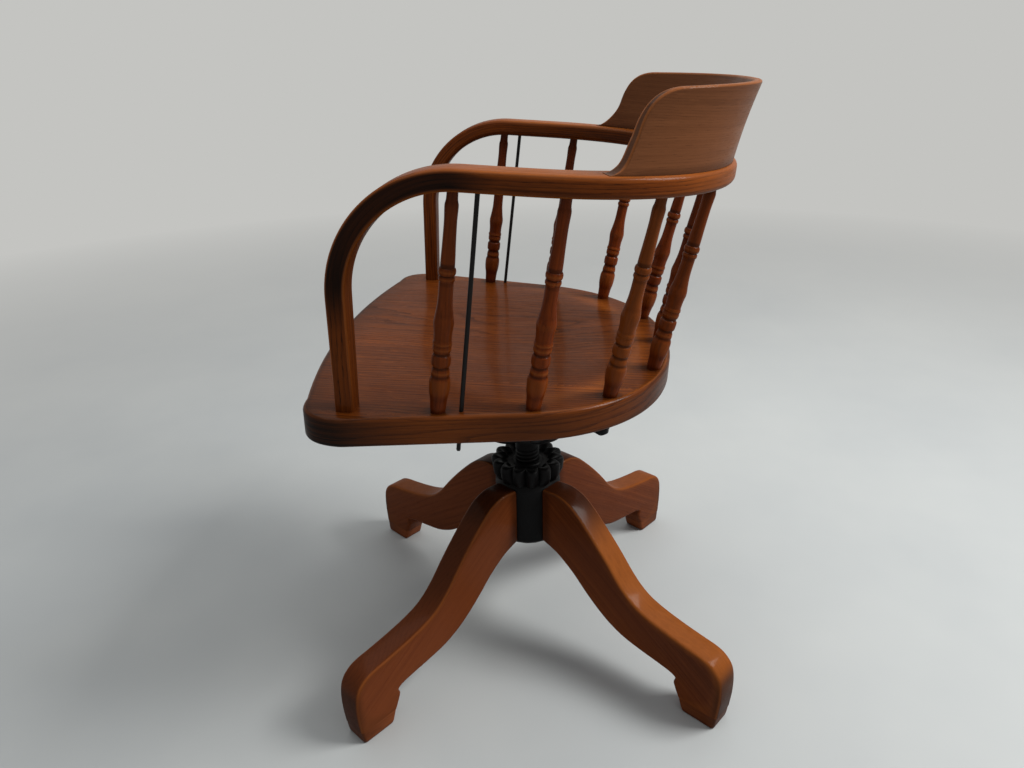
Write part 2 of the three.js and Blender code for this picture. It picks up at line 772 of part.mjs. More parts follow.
function heightScrew() {
  const shaft = turned([
    [0, screwBottom], [screwRadius - screwChamfer, screwBottom],
    [screwRadius, screwBottom + screwChamfer], [screwRadius, collarBottom],
    [collarRadius, collarBottom], [collarRadius, collarTop], [pivotRadius, collarTop],
    [pivotRadius, ironBossTop], [pivotEndRadius, ironBossTop],
    [pivotEndRadius, pivotTop], [0, pivotTop],
  ], roundSteps);
  const keyway = box(
    -screwRadius - cutOverrun, keywayDepth - screwRadius,
    -keywayWidth / 2 - runningGap, keywayWidth / 2 + runningGap,
    screwBottom - cutOverrun, collarBottom - screwRadius,
  );
  const pinHole = rod(
    retainingPinRadius + glueGap, -pivotRadius, pivotRadius, smallRoundSteps,
  ).rotateY(quarterTurn).translate(0, 0, pinHeight);
  return carve(solid(shaft), [keyway, pinHole]);
}

function retainingPin() {
  return rod(retainingPinRadius, -retainingPinLength / 2, retainingPinLength / 2, smallRoundSteps)
    .rotateY(quarterTurn).translate(0, 0, pinHeight);
}

function nut(bore, radius, bottom, height) {
  const hexagon = rod(radius, bottom, bottom + height, nutSides);
  const hole = rod(bore, bottom - cutOverrun, bottom + height + cutOverrun, roundSteps);
  return carve(solid(hexagon), [hole]);
}

// Handwheel: a dished cup with lobes that swell towards the top, by these shares of their depth
const lobeShares = { foot: 0.3, middle: 0.8, rim: 1, lip: 0.4, floor: 0.3, boss: 0 };
const wheelSwellShare = 0.6;  // of the wheel's height, where the flank reaches the rim's radius

function handwheel() {
  const bottom = hubTop + runningGap;
  const bore = screwRadius + runningGap;
  const floorHeight = wheelHeight - wheelRecessDepth;
  const midRadius = (wheelBottomRadius + wheelTopRadius) / 2;
  const bossTop = wheelHeight - 2 * wheelEdge;
  const swellHeight = wheelHeight * wheelSwellShare;
  // radius, height and how far the lobes show there
  const profile = [
    [bore, 0, lobeShares.boss], [wheelBottomRadius, 0, lobeShares.foot],
    [midRadius, swellHeight / 2, lobeShares.middle], [wheelTopRadius, swellHeight, lobeShares.rim],
    [wheelTopRadius, bossTop, lobeShares.rim],
    [wheelTopRadius - wheelEdge, wheelHeight, lobeShares.rim],
    [wheelRecessRadius + wheelEdge, wheelHeight - wheelEdge / 2, lobeShares.lip],
    [wheelRecessRadius, floorHeight, lobeShares.floor],
    [wheelBossRadius, floorHeight, lobeShares.boss],
    [wheelBossRadius - wheelEdge / 2, bossTop, lobeShares.boss],
    [bore, bossTop, lobeShares.boss], [bore, 0, lobeShares.boss],
  ];
  const shape = turned(profile, wheelLobes * stepsPerLobe);
  const position = shape.attributes.position;
  for (let i = 0; i < position.count; i += 1) {
    const weight = profile[i % profile.length][2];
    const x = position.getX(i);
    const y = position.getY(i);
    const radius = Math.hypot(x, y);
    const hump = Math.abs(Math.sin((wheelLobes / 2) * Math.atan2(y, x)));
    const swell = 1 + (wheelLobeDepth * weight * (2 * hump - 1)) / radius;
    position.setXY(i, x * swell, y * swell);
  }
  return solid(shape.translate(0, 0, bottom));
}

// Hub: a round casting with four slots for the legs, a roof over them and a plate below
const legDirections = Array.from({ length: legCount }, (_, number) => (
  radians(legAngleDeg) + (2 * Math.PI * number) / legCount
));
const keyTop = hubTop - glueGap;

function hub() {
  const casting = ring(screwRadius + runningGap, hubRadius, hubBottom, hubTop, roundSteps);
  const slots = legDirections.map((direction) => box(
    hubCore, hubRadius + cutOverrun,
    -legThickness / 2 - glueGap, legThickness / 2 + glueGap,
    hubBottom - cutOverrun, hubTop - hubRoofThickness,
  ).rotateZ(direction));
  const keySeat = box(
    -screwRadius - keywayDepth - glueGap, 0,
    -keywayWidth / 2 - glueGap, keywayWidth / 2 + glueGap,
    keyTop - keyLength - glueGap, hubTop + cutOverrun,
  );
  return carve(solid(casting), [...slots, keySeat]);
}

function screwKey() {
  return box(
    -screwRadius - keywayDepth, keywayDepth - screwRadius - runningGap,
    -keywayWidth / 2, keywayWidth / 2, keyTop - keyLength, keyTop,
  );
}

const plateTop = hubBottom - glueGap;
const plateBottom = plateTop - hubPlateThickness;
const hubPlateRadius = hubRadius - hubPlateInset;
const plateScrewPitch = hubPlateRadius - plateScrewInset;

function hubPlate() {
  const disc = ring(collarRadius, hubPlateRadius, plateBottom, plateTop, roundSteps);
  const holes = legDirections.map((direction) => (
    rod(plateScrewRadius + glueGap, plateBottom - cutOverrun, plateTop + cutOverrun, smallRoundSteps)
      .translate(plateScrewPitch, 0, 0)
      .rotateZ(direction)
  ));
  return carve(solid(disc), holes);
}

function plateScrew(direction) {
  const head = plateBottom - glueGap;
  const top = head + plateScrewLength;
  return turned([
    [0, head - plateScrewHeadHeight], [plateScrewHeadRadius / 2, head - plateScrewHeadHeight],
    [plateScrewHeadRadius, head], [plateScrewRadius, head], [plateScrewRadius, top], [0, top],
  ], smallRoundSteps).translate(plateScrewPitch, 0, 0).rotateZ(direction);
}

// Leg: the side view as shares of the reach and of the hub's top height
const legBackShares = [
  [0.138, 0.977], [0.2, 0.979], [0.25, 0.964], [0.297, 0.928], [0.376, 0.83], [0.456, 0.716],
  [0.535, 0.592], [0.6, 0.52], [0.67, 0.481], [0.76, 0.452], [0.853, 0.43], [0.91, 0.418],
];
const legToeShares = [[0.95, 0.398], [0.982, 0.355], [0.996, 0.292], [1, 0.194]];
const legHeelShares = [[0.799, 0.141], [0.8, 0.194]];
const legUnderShares = [
  [0.72, 0.225], [0.645, 0.239], [0.56, 0.262], [0.49, 0.301], [0.427, 0.355], [0.36, 0.428],
  [0.294, 0.509], [0.212, 0.584], [0.138, 0.624],
];
const legScale = ([reach, height]) => new THREE.Vector2(reach * legReach, height * hubTop);
const footTop = footBlockHeight;
const footBlockToe = legReach - footToeInset;
const footBlockHeel = footBlockToe - footBlockLength;

function legShape() {
  const root = hubCore + glueGap;
  const roof = hubTop - hubRoofThickness - glueGap;
  const shoulder = hubRadius + glueGap;
  const back = new THREE.SplineCurve(legBackShares.map(legScale)).getPoints(curveSteps + cornerSteps);
  const toe = new THREE.SplineCurve(legToeShares.map(legScale)).getPoints(2 * cornerSteps);
  const under = new THREE.SplineCurve(legUnderShares.map(legScale)).getPoints(curveSteps + cornerSteps);
  const heel = legHeelShares.map(legScale);
  return new THREE.Shape([
    new THREE.Vector2(root, roof), new THREE.Vector2(shoulder, roof), ...back.slice(1), ...toe,
    new THREE.Vector2(footBlockToe + footBlockInset, footTop),
    new THREE.Vector2(footBlockHeel - 2 * legEdgeRound, footTop),
    ...heel, ...under.slice(0, -1),
    new THREE.Vector2(shoulder, hubBottom + glueGap), new THREE.Vector2(root, hubBottom + glueGap),
  ]);
}

function sideCut(shape, thickness, round) {
  return new THREE.ExtrudeGeometry(shape, {
    depth: thickness - 2 * round,
    bevelThickness: round,
    bevelSize: round,
    bevelOffset: -round,
    bevelSegments: 1,
    steps: 1,
  }).translate(0, 0, round - thickness / 2).rotateX(quarterTurn);
}

function leg(direction) {
  const blank = sideCut(legShape(), legThickness, legEdgeRound);
  const screwHole = rod(
    plateScrewRadius + glueGap,
    hubBottom - cutOverrun,
    plateBottom + plateScrewLength + glueGap,
    smallRoundSteps,
  ).translate(plateScrewPitch, 0, 0);
  return geometryOf(carve(solid(blank), [screwHole])).rotateZ(direction);
}

function footBlock(direction) {
  const top = footTop - glueGap;
  const chamfer = footBlockInset;
  const heelTop = footBlockHeel - 2 * legEdgeRound + footBlockInset;
  const shape = new THREE.Shape([
    new THREE.Vector2(footBlockHeel, 0), new THREE.Vector2(footBlockToe - chamfer, 0),
    new THREE.Vector2(footBlockToe, chamfer), new THREE.Vector2(footBlockToe, top),
    new THREE.Vector2(heelTop, top),
  ]);
  return sideCut(shape, legThickness - 2 * footBlockInset, footBlockInset).rotateZ(direction);
}

// Assembly
piece('hub_casting', geometryOf(hub()), iron);
piece('screw_key', geometryOf(solid(screwKey())), steel);
piece('hub_bottom_plate', geometryOf(hubPlate()), iron);
legDirections.forEach((direction, number) => {
  piece(`leg_${number + 1}`, leg(direction), oak);
  piece(`foot_block_${number + 1}`, geometryOf(solid(footBlock(direction))), oakDark);
  piece(`plate_screw_${number + 1}`, geometryOf(solid(plateScrew(direction))), steel);
});
piece('handwheel', geometryOf(handwheel()), iron);
piece('height_screw', geometryOf(heightScrew()), iron);
piece('top_washer', geometryOf(solid(ring(
  pivotEndRadius + glueGap, topNutRadius, topWasherBottom, topWasherBottom + topWasherThickness, roundSteps,
))), steel);
piece('pivot_nut', geometryOf(
  nut(pivotEndRadius + glueGap, topNutRadius, topNutBottom, topNutHeight),
), steel);
piece('retaining_pin', geometryOf(solid(retainingPin())), steel);
piece('thrust_washer', geometryOf(solid(ring(
  pivotRadius + runningGap, thrustWasherRadius, collarTop + runningGap,
  collarTop + runningGap + thrustWasherThickness, roundSteps,
))), steel);
piece('seat_iron', geometryOf(seatIron()), iron);
ironPads.forEach(({ x, y }, number) => {
  piece(`iron_screw_${number + 1}`, geometryOf(solid(padScrew().translate(x, y, 0))), steel, seatFrame);
});
piece('seat', geometryOf(seat()), oak, seatFrame);
piece('arm_bow', geometryOf(armBow()), oak, armFrame);
piece('crest_rail', geometryOf(carve(
  solid(crestGeometry()),
  crestScrewPlaces.map(({ x, y }) => crestScrewGeometry(glueGap).translate(x, y, 0)),
)), oak, armFrame);
crestScrewPlaces.forEach(({ x, y }, number) => {
  const screw = geometryOf(solid(crestScrewGeometry(0).translate(x, y, 0)));
  piece(`crest_screw_${number + 1}`, screw, steel, armFrame);
});
spindles.forEach(({ length, matrix, side, number }) => {
  const sideName = number === spindleFootShares.length - 1 ? 'back' : ['right', 'left'][(side + 1) / 2];
  const suffix = sideName === 'back' ? '' : `_${number + 1}`;
  piece(`spindle_${sideName}${suffix}`, geometryOf(solid(spindleGeometry(length))), oak, matrix);
});
tieRods.forEach(({ length, matrix, side }) => {
  const sideName = ['right', 'left'][(side + 1) / 2];
  const washerTop = rodPocketTop(matrix) - glueGap;
  const nutTop = washerTop - rodWasherThickness - glueGap;
  const bar = rod(rodRadius, rodUnderside(matrix) - rodTail, length + rodArmBite, smallRoundSteps);
  piece(`tie_rod_${sideName}`, geometryOf(solid(bar)), iron, matrix);
  piece(`tie_rod_washer_${sideName}`, geometryOf(solid(ring(
    rodRadius + glueGap, rodWasherRadius, washerTop - rodWasherThickness, washerTop, spindleSteps,
  ))), steel, matrix);
  piece(
    `tie_rod_nut_${sideName}`,
    geometryOf(nut(rodRadius + glueGap, rodNutRadius, nutTop - rodNutHeight, rodNutHeight)),
    steel,
    matrix,
  );
});

export default chair;
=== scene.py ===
"""Looks of the bankers swivel chair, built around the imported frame.

Shapes are worked out in millimetres, in the same frame as the CAD model, and become metres
when a mesh is made. The sitter faces -Y, +Z is up and the origin is on the floor at the
swivel axis.
"""

import math

import bpy
import numpy as np
from mathutils import Matrix


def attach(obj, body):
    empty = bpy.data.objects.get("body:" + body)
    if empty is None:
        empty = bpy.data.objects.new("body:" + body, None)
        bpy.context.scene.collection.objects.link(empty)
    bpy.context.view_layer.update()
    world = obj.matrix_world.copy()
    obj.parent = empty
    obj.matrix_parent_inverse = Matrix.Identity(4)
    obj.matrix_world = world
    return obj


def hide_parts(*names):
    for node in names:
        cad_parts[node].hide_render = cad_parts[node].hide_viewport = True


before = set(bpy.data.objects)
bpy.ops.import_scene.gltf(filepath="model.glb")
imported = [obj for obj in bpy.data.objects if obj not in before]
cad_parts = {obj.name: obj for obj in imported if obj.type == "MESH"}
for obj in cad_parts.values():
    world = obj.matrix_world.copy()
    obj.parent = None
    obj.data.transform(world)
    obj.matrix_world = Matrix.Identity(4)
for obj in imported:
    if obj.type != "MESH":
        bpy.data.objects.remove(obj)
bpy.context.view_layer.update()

MM = 0.001
QUARTER_TURN = math.pi / 2
SHARP_DEGREES = 35
CORNER_STEPS = 5

# Camera, fitted to the photograph
IMAGE_WIDTH_PX = 1024
FOCAL_PX = 745.25
SENSOR_MM = 36.0
CAMERA_PLACE = (935.75, 73.23, 808.47)
CAMERA_YAW = 5.679
CAMERA_PITCH = 24.139
CAMERA_ROLL = -1.400

# Seat and arm planes
SEAT_HEIGHT = 460.0
SEAT_RAKE = 2.3
ARM_FALL = 1.8
ARM_CLEAR = 229.0

# Seat
SEAT_THICKNESS = 34.0
SEAT_ROUND = 5.0
SEAT_ROUND_STEPS = 6
SEAT_BOARD_WIDTH = 98.0
SEAT_FRONT = 247.0
SEAT_BACK = 190.0
SEAT_HALF_WIDTH = 274.0
SEAT_WAIST = (237.0, 20.0)
SEAT_BOW = 24.0
SEAT_CORNER = 50.0
SEAT_BULGE = 92.0
SEAT_BACK_HANDLE = 142.0
SADDLE_DEPTH = 5.0
SADDLE_HALF_WIDTH = 196.0
SADDLE_HALF_LENGTH = 156.0
SADDLE_CENTRE_Y = -14.0

# Arm bow
ARM_HALF_SPAN = 265.0
ARM_BACK = 237.0
ARM_CURVE_Y = -3.0
ARM_POWER = 2.315
ARM_WIDTH = 42.0
ARM_THICKNESS = 21.0
ARM_ROUND = 6.0
BEND_RADIUS = 118.0
POST_Y = -168.0
POST_WIDTH = 25.0
POST_THICKNESS = 20.0
POST_ROUND = 3.5

# Crest rail
CREST_INSET = 5.0
CREST_HEIGHT = 81.5
CREST_FOOT = 18.0
CREST_TOP = 9.5
CREST_TOE = 0.4
CREST_HALF_LENGTH = 316.0
CREST_SWEEP = 80.0
CREST_BACK_LEAN = 12.0
CREST_SIDE_LEAN = -14.0
CREST_ROUND = 2.8
CREST_HOLLOW = 1.6

# Spindles and tie rods
SPINDLE_INSET = 14.0
FOOT_SHARES = (0.498, 0.622, 0.745, 0.878, 1.0)
HEAD_SHARES = (0.981, 0.748, 0.498, 0.225, 0.0)
HEAD_SHIFTS = (14.0, 11.0, 13.0, -4.0, 0.0)
ROD_INSET = 12.0
ROD_FOOT_SHARE = 0.528
ROD_HEAD_SHARE = 0.93
ROD_HEAD_SHIFT = 14.0
ROD_RADIUS = 2.4
ROD_TAIL = 15.0
SOCKET_DEPTH = 6.0
SPINDLE_STEPS = 40
ROD_STEPS = 20

# Seat iron
BOSS_RADIUS = 24.0
BOSS_BOTTOM = 310.6
BOSS_HEIGHT = 42.0
IRON_WIDTH = 22.0
IRON_THICKNESS = 13.0
PAD_THICKNESS = 9.0
PAD_RADIUS = 8.5
PADS = ((185.0, 100.0), (-185.0, 100.0), (194.0, -120.0), (-194.0, -120.0))
IRON_HANDLE_SHARE = 0.45
IRON_ARM_RINGS = 40
PIVOT_BORE = 12.3
GAP = 0.3

# Height screw
SCREW_RADIUS = 17.0
SCREW_BOTTOM = 151.0
COLLAR_BOTTOM = 301.0
COLLAR_TOP = 307.0
COLLAR_RADIUS = 19.0
PIVOT_RADIUS = 12.0
PIVOT_END_RADIUS = 9.5
PIVOT_END = 372.6
SCREW_STEPS = 64
THREAD_PITCH = 6.0
THREAD_DEPTH = 1.1
RINGS_PER_THREAD = 12

# Handwheel
WHEEL_BOTTOM = 250.3
WHEEL_HEIGHT = 26.0
WHEEL_TOP_RADIUS = 47.5
WHEEL_LOBE = 4.6
WHEEL_WAVE = 1.6
WHEEL_LOBES = 14
WHEEL_RECESS_RADIUS = 34.0
WHEEL_RECESS_DEPTH = 8.0
WHEEL_BOSS_RADIUS = 22.0
WHEEL_BORE = 17.3
WHEEL_SWELL_SHARE = 0.6
WHEEL_DROOP = 4.0

# Hub and legs
HUB_TOP = 250.0
HUB_BOTTOM = 156.0
HUB_RADIUS = 47.0
HUB_CROWN_RADIUS = 40.0
HUB_CROWN_HEIGHT = 11.0
HUB_STEPS = 96
LEG_ANGLE = 51.8
LEG_COUNT = 4
LEG_REACH = 340.0
LEG_THICKNESS = 37.0
LEG_ROUND = 4.5
LEG_GRAIN_SLOPE = 34.0
# Painted light and painted shade on each leg's top: lightest on the first leg, on the window lamp's
# side, darkest on the fourth, on the side away from it.
LEG_TOP_LIGHT = (0.6, 0.3, 0.3, 0.0)
LEG_TOP_SHADE = (0.0, 0.1, 0.2, 0.4)
BLOCK_HEIGHT = 20.0
BLOCK_HEEL = 287.0
BLOCK_TOE = 336.0
BLOCK_INSET = 1.5
BLOCK_STEP = 0.6
BLOCK_LEVELS = (
    (BLOCK_HEIGHT - GAP, 0.0), (14.0, 0.0), (6.0, 0.0), (2.0, 0.3), (0.6, 1.0), (0.0, 2.2)
)  # fmt: skip

rng = np.random.default_rng(7)


# Frames and small vector helpers
def turned_x(degrees):
    c, s = math.cos(math.radians(degrees)), math.sin(math.radians(degrees))
    matrix = np.eye(4)
    matrix[1:3, 1:3] = [[c, -s], [s, c]]
    return matrix


def lifted(height):
    matrix = np.eye(4)
    matrix[2, 3] = height
    return matrix


SEAT_FRAME = lifted(SEAT_HEIGHT) @ turned_x(-SEAT_RAKE)
ARM_FRAME = SEAT_FRAME @ lifted(ARM_CLEAR) @ turned_x(-ARM_FALL)
ARM_TO_SEAT = np.linalg.inv(SEAT_FRAME) @ ARM_FRAME


def placed(matrix, points):
    points = np.asarray(points, float)
    return points @ matrix[:3, :3].T + matrix[:3, 3]


def unit(vector):
    vector = np.asarray(vector, float)
    return vector / np.linalg.norm(vector)


def spun(a, b, angle):
    """Two coordinates after a turn in their plane."""
    c, s = math.cos(angle), math.sin(angle)
    return c * a - s * b, s * a + c * b


def smoothstep(low, high, value):
    t = np.clip((value - low) / (high - low), 0, 1)
    return t * t * (3 - 2 * t)


def bezier(points, count):
    t = np.linspace(0, 1, count)[:, None]
    points = [np.asarray(p, float)[None, :] for p in points]
    while len(points) > 1:
        points = [a * (1 - t) + b * t for a, b in zip(points, points[1:])]
    return points[0]


def catmull(points, count):
    """Points along a uniform Catmull-Rom spline through the given ones."""
    points = np.asarray(points, float)
    position = np.linspace(0, len(points) - 1, count)
    index = np.minimum(position.astype(int), len(points) - 2)
    w = (position - index)[:, None]
    p0 = points[np.maximum(index - 1, 0)]
    p1, p2 = points[index], points[index + 1]
    p3 = points[np.minimum(index + 2, len(points) - 1)]
    v0, v1 = (p2 - p0) / 2, (p3 - p1) / 2
    return (
        (2 * p1 - 2 * p2 + v0 + v1) * w**3
        + (-3 * p1 + 3 * p2 - 2 * v0 - v1) * w**2
        + v0 * w
        + p1
    )


class Track:
    """A dense polyline that gives points at shares of its length."""

    def __init__(self, points):
        self.points = np.asarray(points, float)
        steps = np.linalg.norm(np.diff(self.points, axis=0), axis=1)
        self.runs = np.concatenate([[0], np.cumsum(steps)])
        self.length = self.runs[-1]

    def at(self, share):
        run = np.clip(share, 0, 1) * self.length
        columns = [np.interp(run, self.runs, column) for column in self.points.T]
        return np.stack(columns, axis=-1)


# Meshes
def new_object(name, data):
    made = bpy.data.objects.new(name, data)
    bpy.context.scene.collection.objects.link(made)
    return made


def new_mesh(name, replaced, points, faces, body, slot, look, grain=None, stain_and_shade=0, wear_and_highlight=0):
    """A piece in place of a CAD node. Points and grain are in millimetres."""
    mesh = bpy.data.meshes.new(name)
    mesh.from_pydata((points * MM).tolist(), [], faces)
    mesh.polygons.foreach_set("use_smooth", [True] * len(mesh.polygons))
    mesh.set_sharp_from_angle(angle=math.radians(SHARP_DEGREES))
    if grain is not None:
        layer = mesh.attributes.new("grain", "FLOAT_VECTOR", "POINT")
        layer.data.foreach_set("vector", (grain * MM).astype(np.float32).ravel())
    for key, values in (("stain_and_shade", stain_and_shade), ("wear_and_highlight", wear_and_highlight)):
        layer = mesh.attributes.new(key, "FLOAT", "POINT")
        layer.data.foreach_set("value", np.full(len(points), values, np.float32))
    mesh.materials.append(look)
    piece = new_object(name, mesh)
    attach(piece, body)
    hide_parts(replaced)


def loft_faces(rings, first=0, capped=True, flipped=False):
    """Quads between rings of points, and a cap on each end. Flipped rings run clockwise."""
    around = len(rings[0])
    last = first + (len(rings) - 1) * around
    faces = []
    for base in range(first, last, around):
        for j in range(around):
            k = (j + 1) % around
            faces.append((base + j, base + k, base + around + k, base + around + j))
    if capped:
        faces.append(tuple(reversed(range(first, first + around))))
        faces.append(tuple(range(last, last + around)))
    return [face[::-1] for face in faces] if flipped else faces


def full_turn(steps):
    return np.linspace(0, 2 * math.pi, steps, endpoint=False)


def turned_rings(radius, height, angles):
    """Rings of points about Z, from radii and heights with a row for each ring."""
    x, y = radius * np.cos(angles), radius * np.sin(angles)
    return np.stack([x, y, np.broadcast_to(height, x.shape)], axis=-1)


def lathe(profile, steps):
    """Rings of points about Z from [radius, height] pairs, from the bottom up."""
    radius, height = np.asarray(profile, float).T[:, :, None]
    return turned_rings(radius, height, full_turn(steps))


def swept(centre, section, across, up):
    """A section's points in space, about a centre and along two directions."""
    return centre + section[:, :1] * np.asarray(across) + section[:, 1:] * np.asarray(up)


def rounded_section(width, thickness, round_radius, side_steps=0):
    """Points [across, up] of a rounded rectangle, with extra points along its long sides."""
    points = []
    corners = ((1, -1), (1, 1), (-1, 1), (-1, -1))
    for number, (side_x, side_y) in enumerate(corners):
        for step in range(CORNER_STEPS + 1):
            turn = (number - 1 + step / CORNER_STEPS) * QUARTER_TURN
            points.append(
                (
                    side_x * (width / 2 - round_radius) + round_radius * math.cos(turn),
                    side_y * (thickness / 2 - round_radius) + round_radius * math.sin(turn),
                )
            )
        if side_steps and number in (0, 2):
            low = thickness / 2 - round_radius
            for step in range(1, side_steps):
                share = step / side_steps
                points.append((side_x * width / 2, side_x * low * (2 * share - 1)))
    return np.array(points)


# Materials
def new_look(name):
    """A material with its node tree and its shader."""
    look = bpy.data.materials.new(name)
    look.use_nodes = True
    return look, look.node_tree, look.node_tree.nodes["Principled BSDF"]


def feed(tree, made, inputs):
    """Links or sets a node's inputs, each from a socket or a plain value."""
    for key, value in inputs.items():
        if isinstance(value, bpy.types.NodeSocket):
            tree.links.new(value, made.inputs[key])
        else:
            made.inputs[key].default_value = value


def node(tree, kind, inputs=None, **settings):
    made = tree.nodes.new(kind)
    for key, value in settings.items():
        setattr(made, key, value)
    feed(tree, made, inputs or {})
    return made


def math_node(tree, operation, *values, clamp=False):
    inputs = dict(enumerate(values))
    made = node(tree, "ShaderNodeMath", inputs, operation=operation, use_clamp=clamp)
    return made.outputs[0]


def times(tree, first, second, clamp=False):
    return math_node(tree, "MULTIPLY", first, second, clamp=clamp)


def mixed(tree, factor, first, second):
    """A mix of two colours, which are inputs 6 and 7 and output 2 of the node."""
    inputs = {0: factor, 6: first, 7: second}
    return node(tree, "ShaderNodeMix", inputs, data_type="RGBA").outputs[2]


def vector_node(tree, operation, *values):
    return node(tree, "ShaderNodeVectorMath", dict(enumerate(values)), operation=operation).outputs


def noise(tree, vector, scale, detail, roughness):
    inputs = {"Vector": vector, "Scale": scale, "Detail": detail, "Roughness": roughness}
    return node(tree, "ShaderNodeTexNoise", inputs).outputs["Fac"]


def ranged(tree, value, low, high, to_low=0.0, to_high=1.0):
    inputs = {
        "Value": value, "From Min": low, "From Max": high, "To Min": to_low, "To Max": to_high
    }  # fmt: skip
    return node(tree, "ShaderNodeMapRange", inputs, clamp=True).outputs["Result"]


def bumped(tree, height, strength, distance):
    inputs = {"Height": height, "Strength": strength, "Distance": distance}
    return node(tree, "ShaderNodeBump", inputs).outputs["Normal"]


def rgb(red, green, blue):
    """A colour given as 0 to 255 display values, as the linear one that nodes take."""
    linear = []
    for value in (red, green, blue):
        share = value / 255
        linear.append(share / 12.92 if share <= 0.04045 else ((share + 0.055) / 1.055) ** 2.4)
    return (*linear, 1.0)


PORE_COLOUR = rgb(30, 12, 5)
# The worn colour also paints highlights and sheen, and the grime colour also paints shade and
# shadow.
WORN_AND_LIT_COLOUR = rgb(162, 92, 38)
GRIME_AND_SHADE_COLOUR = rgb(12, 6, 4)
PIT_COLOUR = rgb(8, 7, 7)


def oak(
    name, light, middle, dark, pith, rings_per_m=330.0, *, figure, gloss=0.36, board_tone=0.25,
    coat=0.08
):  # fmt: skip
    """Varnished oak: rings about a pith that runs along the grain, pores, flecks and stains, with
    rubbed lighter patches, painted shade and painted highlights.
    """
    look, tree, shader = new_look(name)
    grain, stain_and_shade, wear_and_highlight = (
        node(tree, "ShaderNodeAttribute", attribute_name=key).outputs[output]
        for key, output in (("grain", "Vector"), ("stain_and_shade", "Fac"), ("wear_and_highlight", "Fac"))
    )

    def field(along, across, detail, roughness=0.55):
        """Noise that is drawn out along the grain."""
        place = vector_node(tree, "MULTIPLY", grain, (along, across, across))[0]
        return noise(tree, place, 1.0, detail, roughness)

    wander = field(2.6, 9.0, 2.0)
    ripple = field(14.0, 60.0, 2.0)
    shifted = vector_node(tree, "ADD", grain, pith)[0]
    flat = vector_node(tree, "MULTIPLY", shifted, (0.03, 1.0, 1.0))[0]
    distance = vector_node(tree, "LENGTH", flat)["Value"]
    ring_place = times(tree, distance, rings_per_m)
    ring_place = math_node(tree, "ADD", ring_place, times(tree, wander, 7.0))
    ring_place = math_node(tree, "ADD", ring_place, times(tree, ripple, 0.9))
    ring = math_node(tree, "FRACT", ring_place)
    early = ranged(tree, ring, 0.0, 0.42, 1.0, 0.0)

    streak = field(5.0, 190.0, 4.0, 0.6)
    pores = ranged(tree, field(75.0, 1500.0, 1.0), 0.56, 0.66)
    pores = times(tree, pores, math_node(tree, "MULTIPLY_ADD", early, 0.75, 0.25))
    patch = field(5.0, 14.0, 2.0)
    fleck = ranged(tree, field(45.0, 240.0, 1.0), 0.62, 0.72)
    board = field(0.7, 5.0, 0.0)
    vein = ranged(tree, field(9.0, 330.0, 2.0), 0.54, 0.68)

    colour = mixed(tree, ranged(tree, streak, 0.3, 0.7), middle, light)
    colour = mixed(tree, times(tree, early, 0.5 * figure), colour, dark)
    colour = mixed(tree, ranged(tree, patch, 0.35, 0.7, 0.0, 0.42), colour, middle)
    colour = mixed(tree, ranged(tree, board, 0.38, 0.62, 0.0, board_tone), colour, dark)
    colour = mixed(tree, ranged(tree, board, 0.5, 0.3, 0.0, board_tone), colour, light)
    colour = mixed(tree, times(tree, fleck, 0.2), colour, light)
    colour = mixed(tree, times(tree, vein, 0.32 * figure), colour, dark)
    colour = mixed(tree, times(tree, pores, 0.62 * figure), colour, PORE_COLOUR)
    # Worn patches and painted highlights lighten the colour towards the worn colour.
    worn_and_lit = times(tree, wear_and_highlight, ranged(tree, streak, 0.2, 0.75, 0.7, 1.0), clamp=True)
    colour = mixed(tree, worn_and_lit, colour, WORN_AND_LIT_COLOUR)
    # Stains and painted shade darken the colour towards the grime colour.
    grimy_and_shaded = times(tree, stain_and_shade, ranged(tree, streak, 0.2, 0.8, 0.75, 1.15), clamp=True)
    colour = mixed(tree, grimy_and_shaded, colour, GRIME_AND_SHADE_COLOUR)

    smudge = field(22.0, 40.0, 4.0, 0.65)
    rough = ranged(tree, smudge, 0.3, 0.75, gloss - 0.07, gloss + 0.13)
    height = times(tree, pores, -0.5)
    height = math_node(tree, "MULTIPLY_ADD", early, -0.12, height)
    height = math_node(tree, "MULTIPLY_ADD", smudge, 0.3, height)
    inputs = {
        "Base Color": colour,
        "Roughness": math_node(tree, "MULTIPLY_ADD", pores, 0.2, rough),
        "Normal": bumped(tree, height, 0.22, 0.0007),
        "Specular IOR Level": 0.02,
        "Coat Weight": coat,
        "Coat Roughness": 0.14,
    }
    feed(tree, shader, inputs)
    return look


def metal(name, colour, dust, rough, bump_size, metallic, shine):
    """Dark iron: an uneven skin with patches of dust and small dark pits."""
    look, tree, shader = new_look(name)
    place = node(tree, "ShaderNodeTexCoord").outputs["Object"]
    coarse = noise(tree, place, 38.0, 4.0, 0.6)
    fine = noise(tree, place, bump_size, 3.0, 0.6)
    tone = mixed(tree, ranged(tree, coarse, 0.42, 0.72, 0.0, 0.6), colour, dust)
    tone = mixed(tree, ranged(tree, fine, 0.55, 0.8, 0.0, 0.35), tone, PIT_COLOUR)
    height = math_node(tree, "MULTIPLY_ADD", coarse, 0.6, fine)
    inputs = {
        "Base Color": tone,
        "Roughness": ranged(tree, coarse, 0.3, 0.75, rough - 0.1, rough + 0.2),
        "Normal": bumped(tree, height, 0.3, 0.0006),
        "Metallic": metallic,
        "Specular IOR Level": shine,
    }
    feed(tree, shader, inputs)
    return look


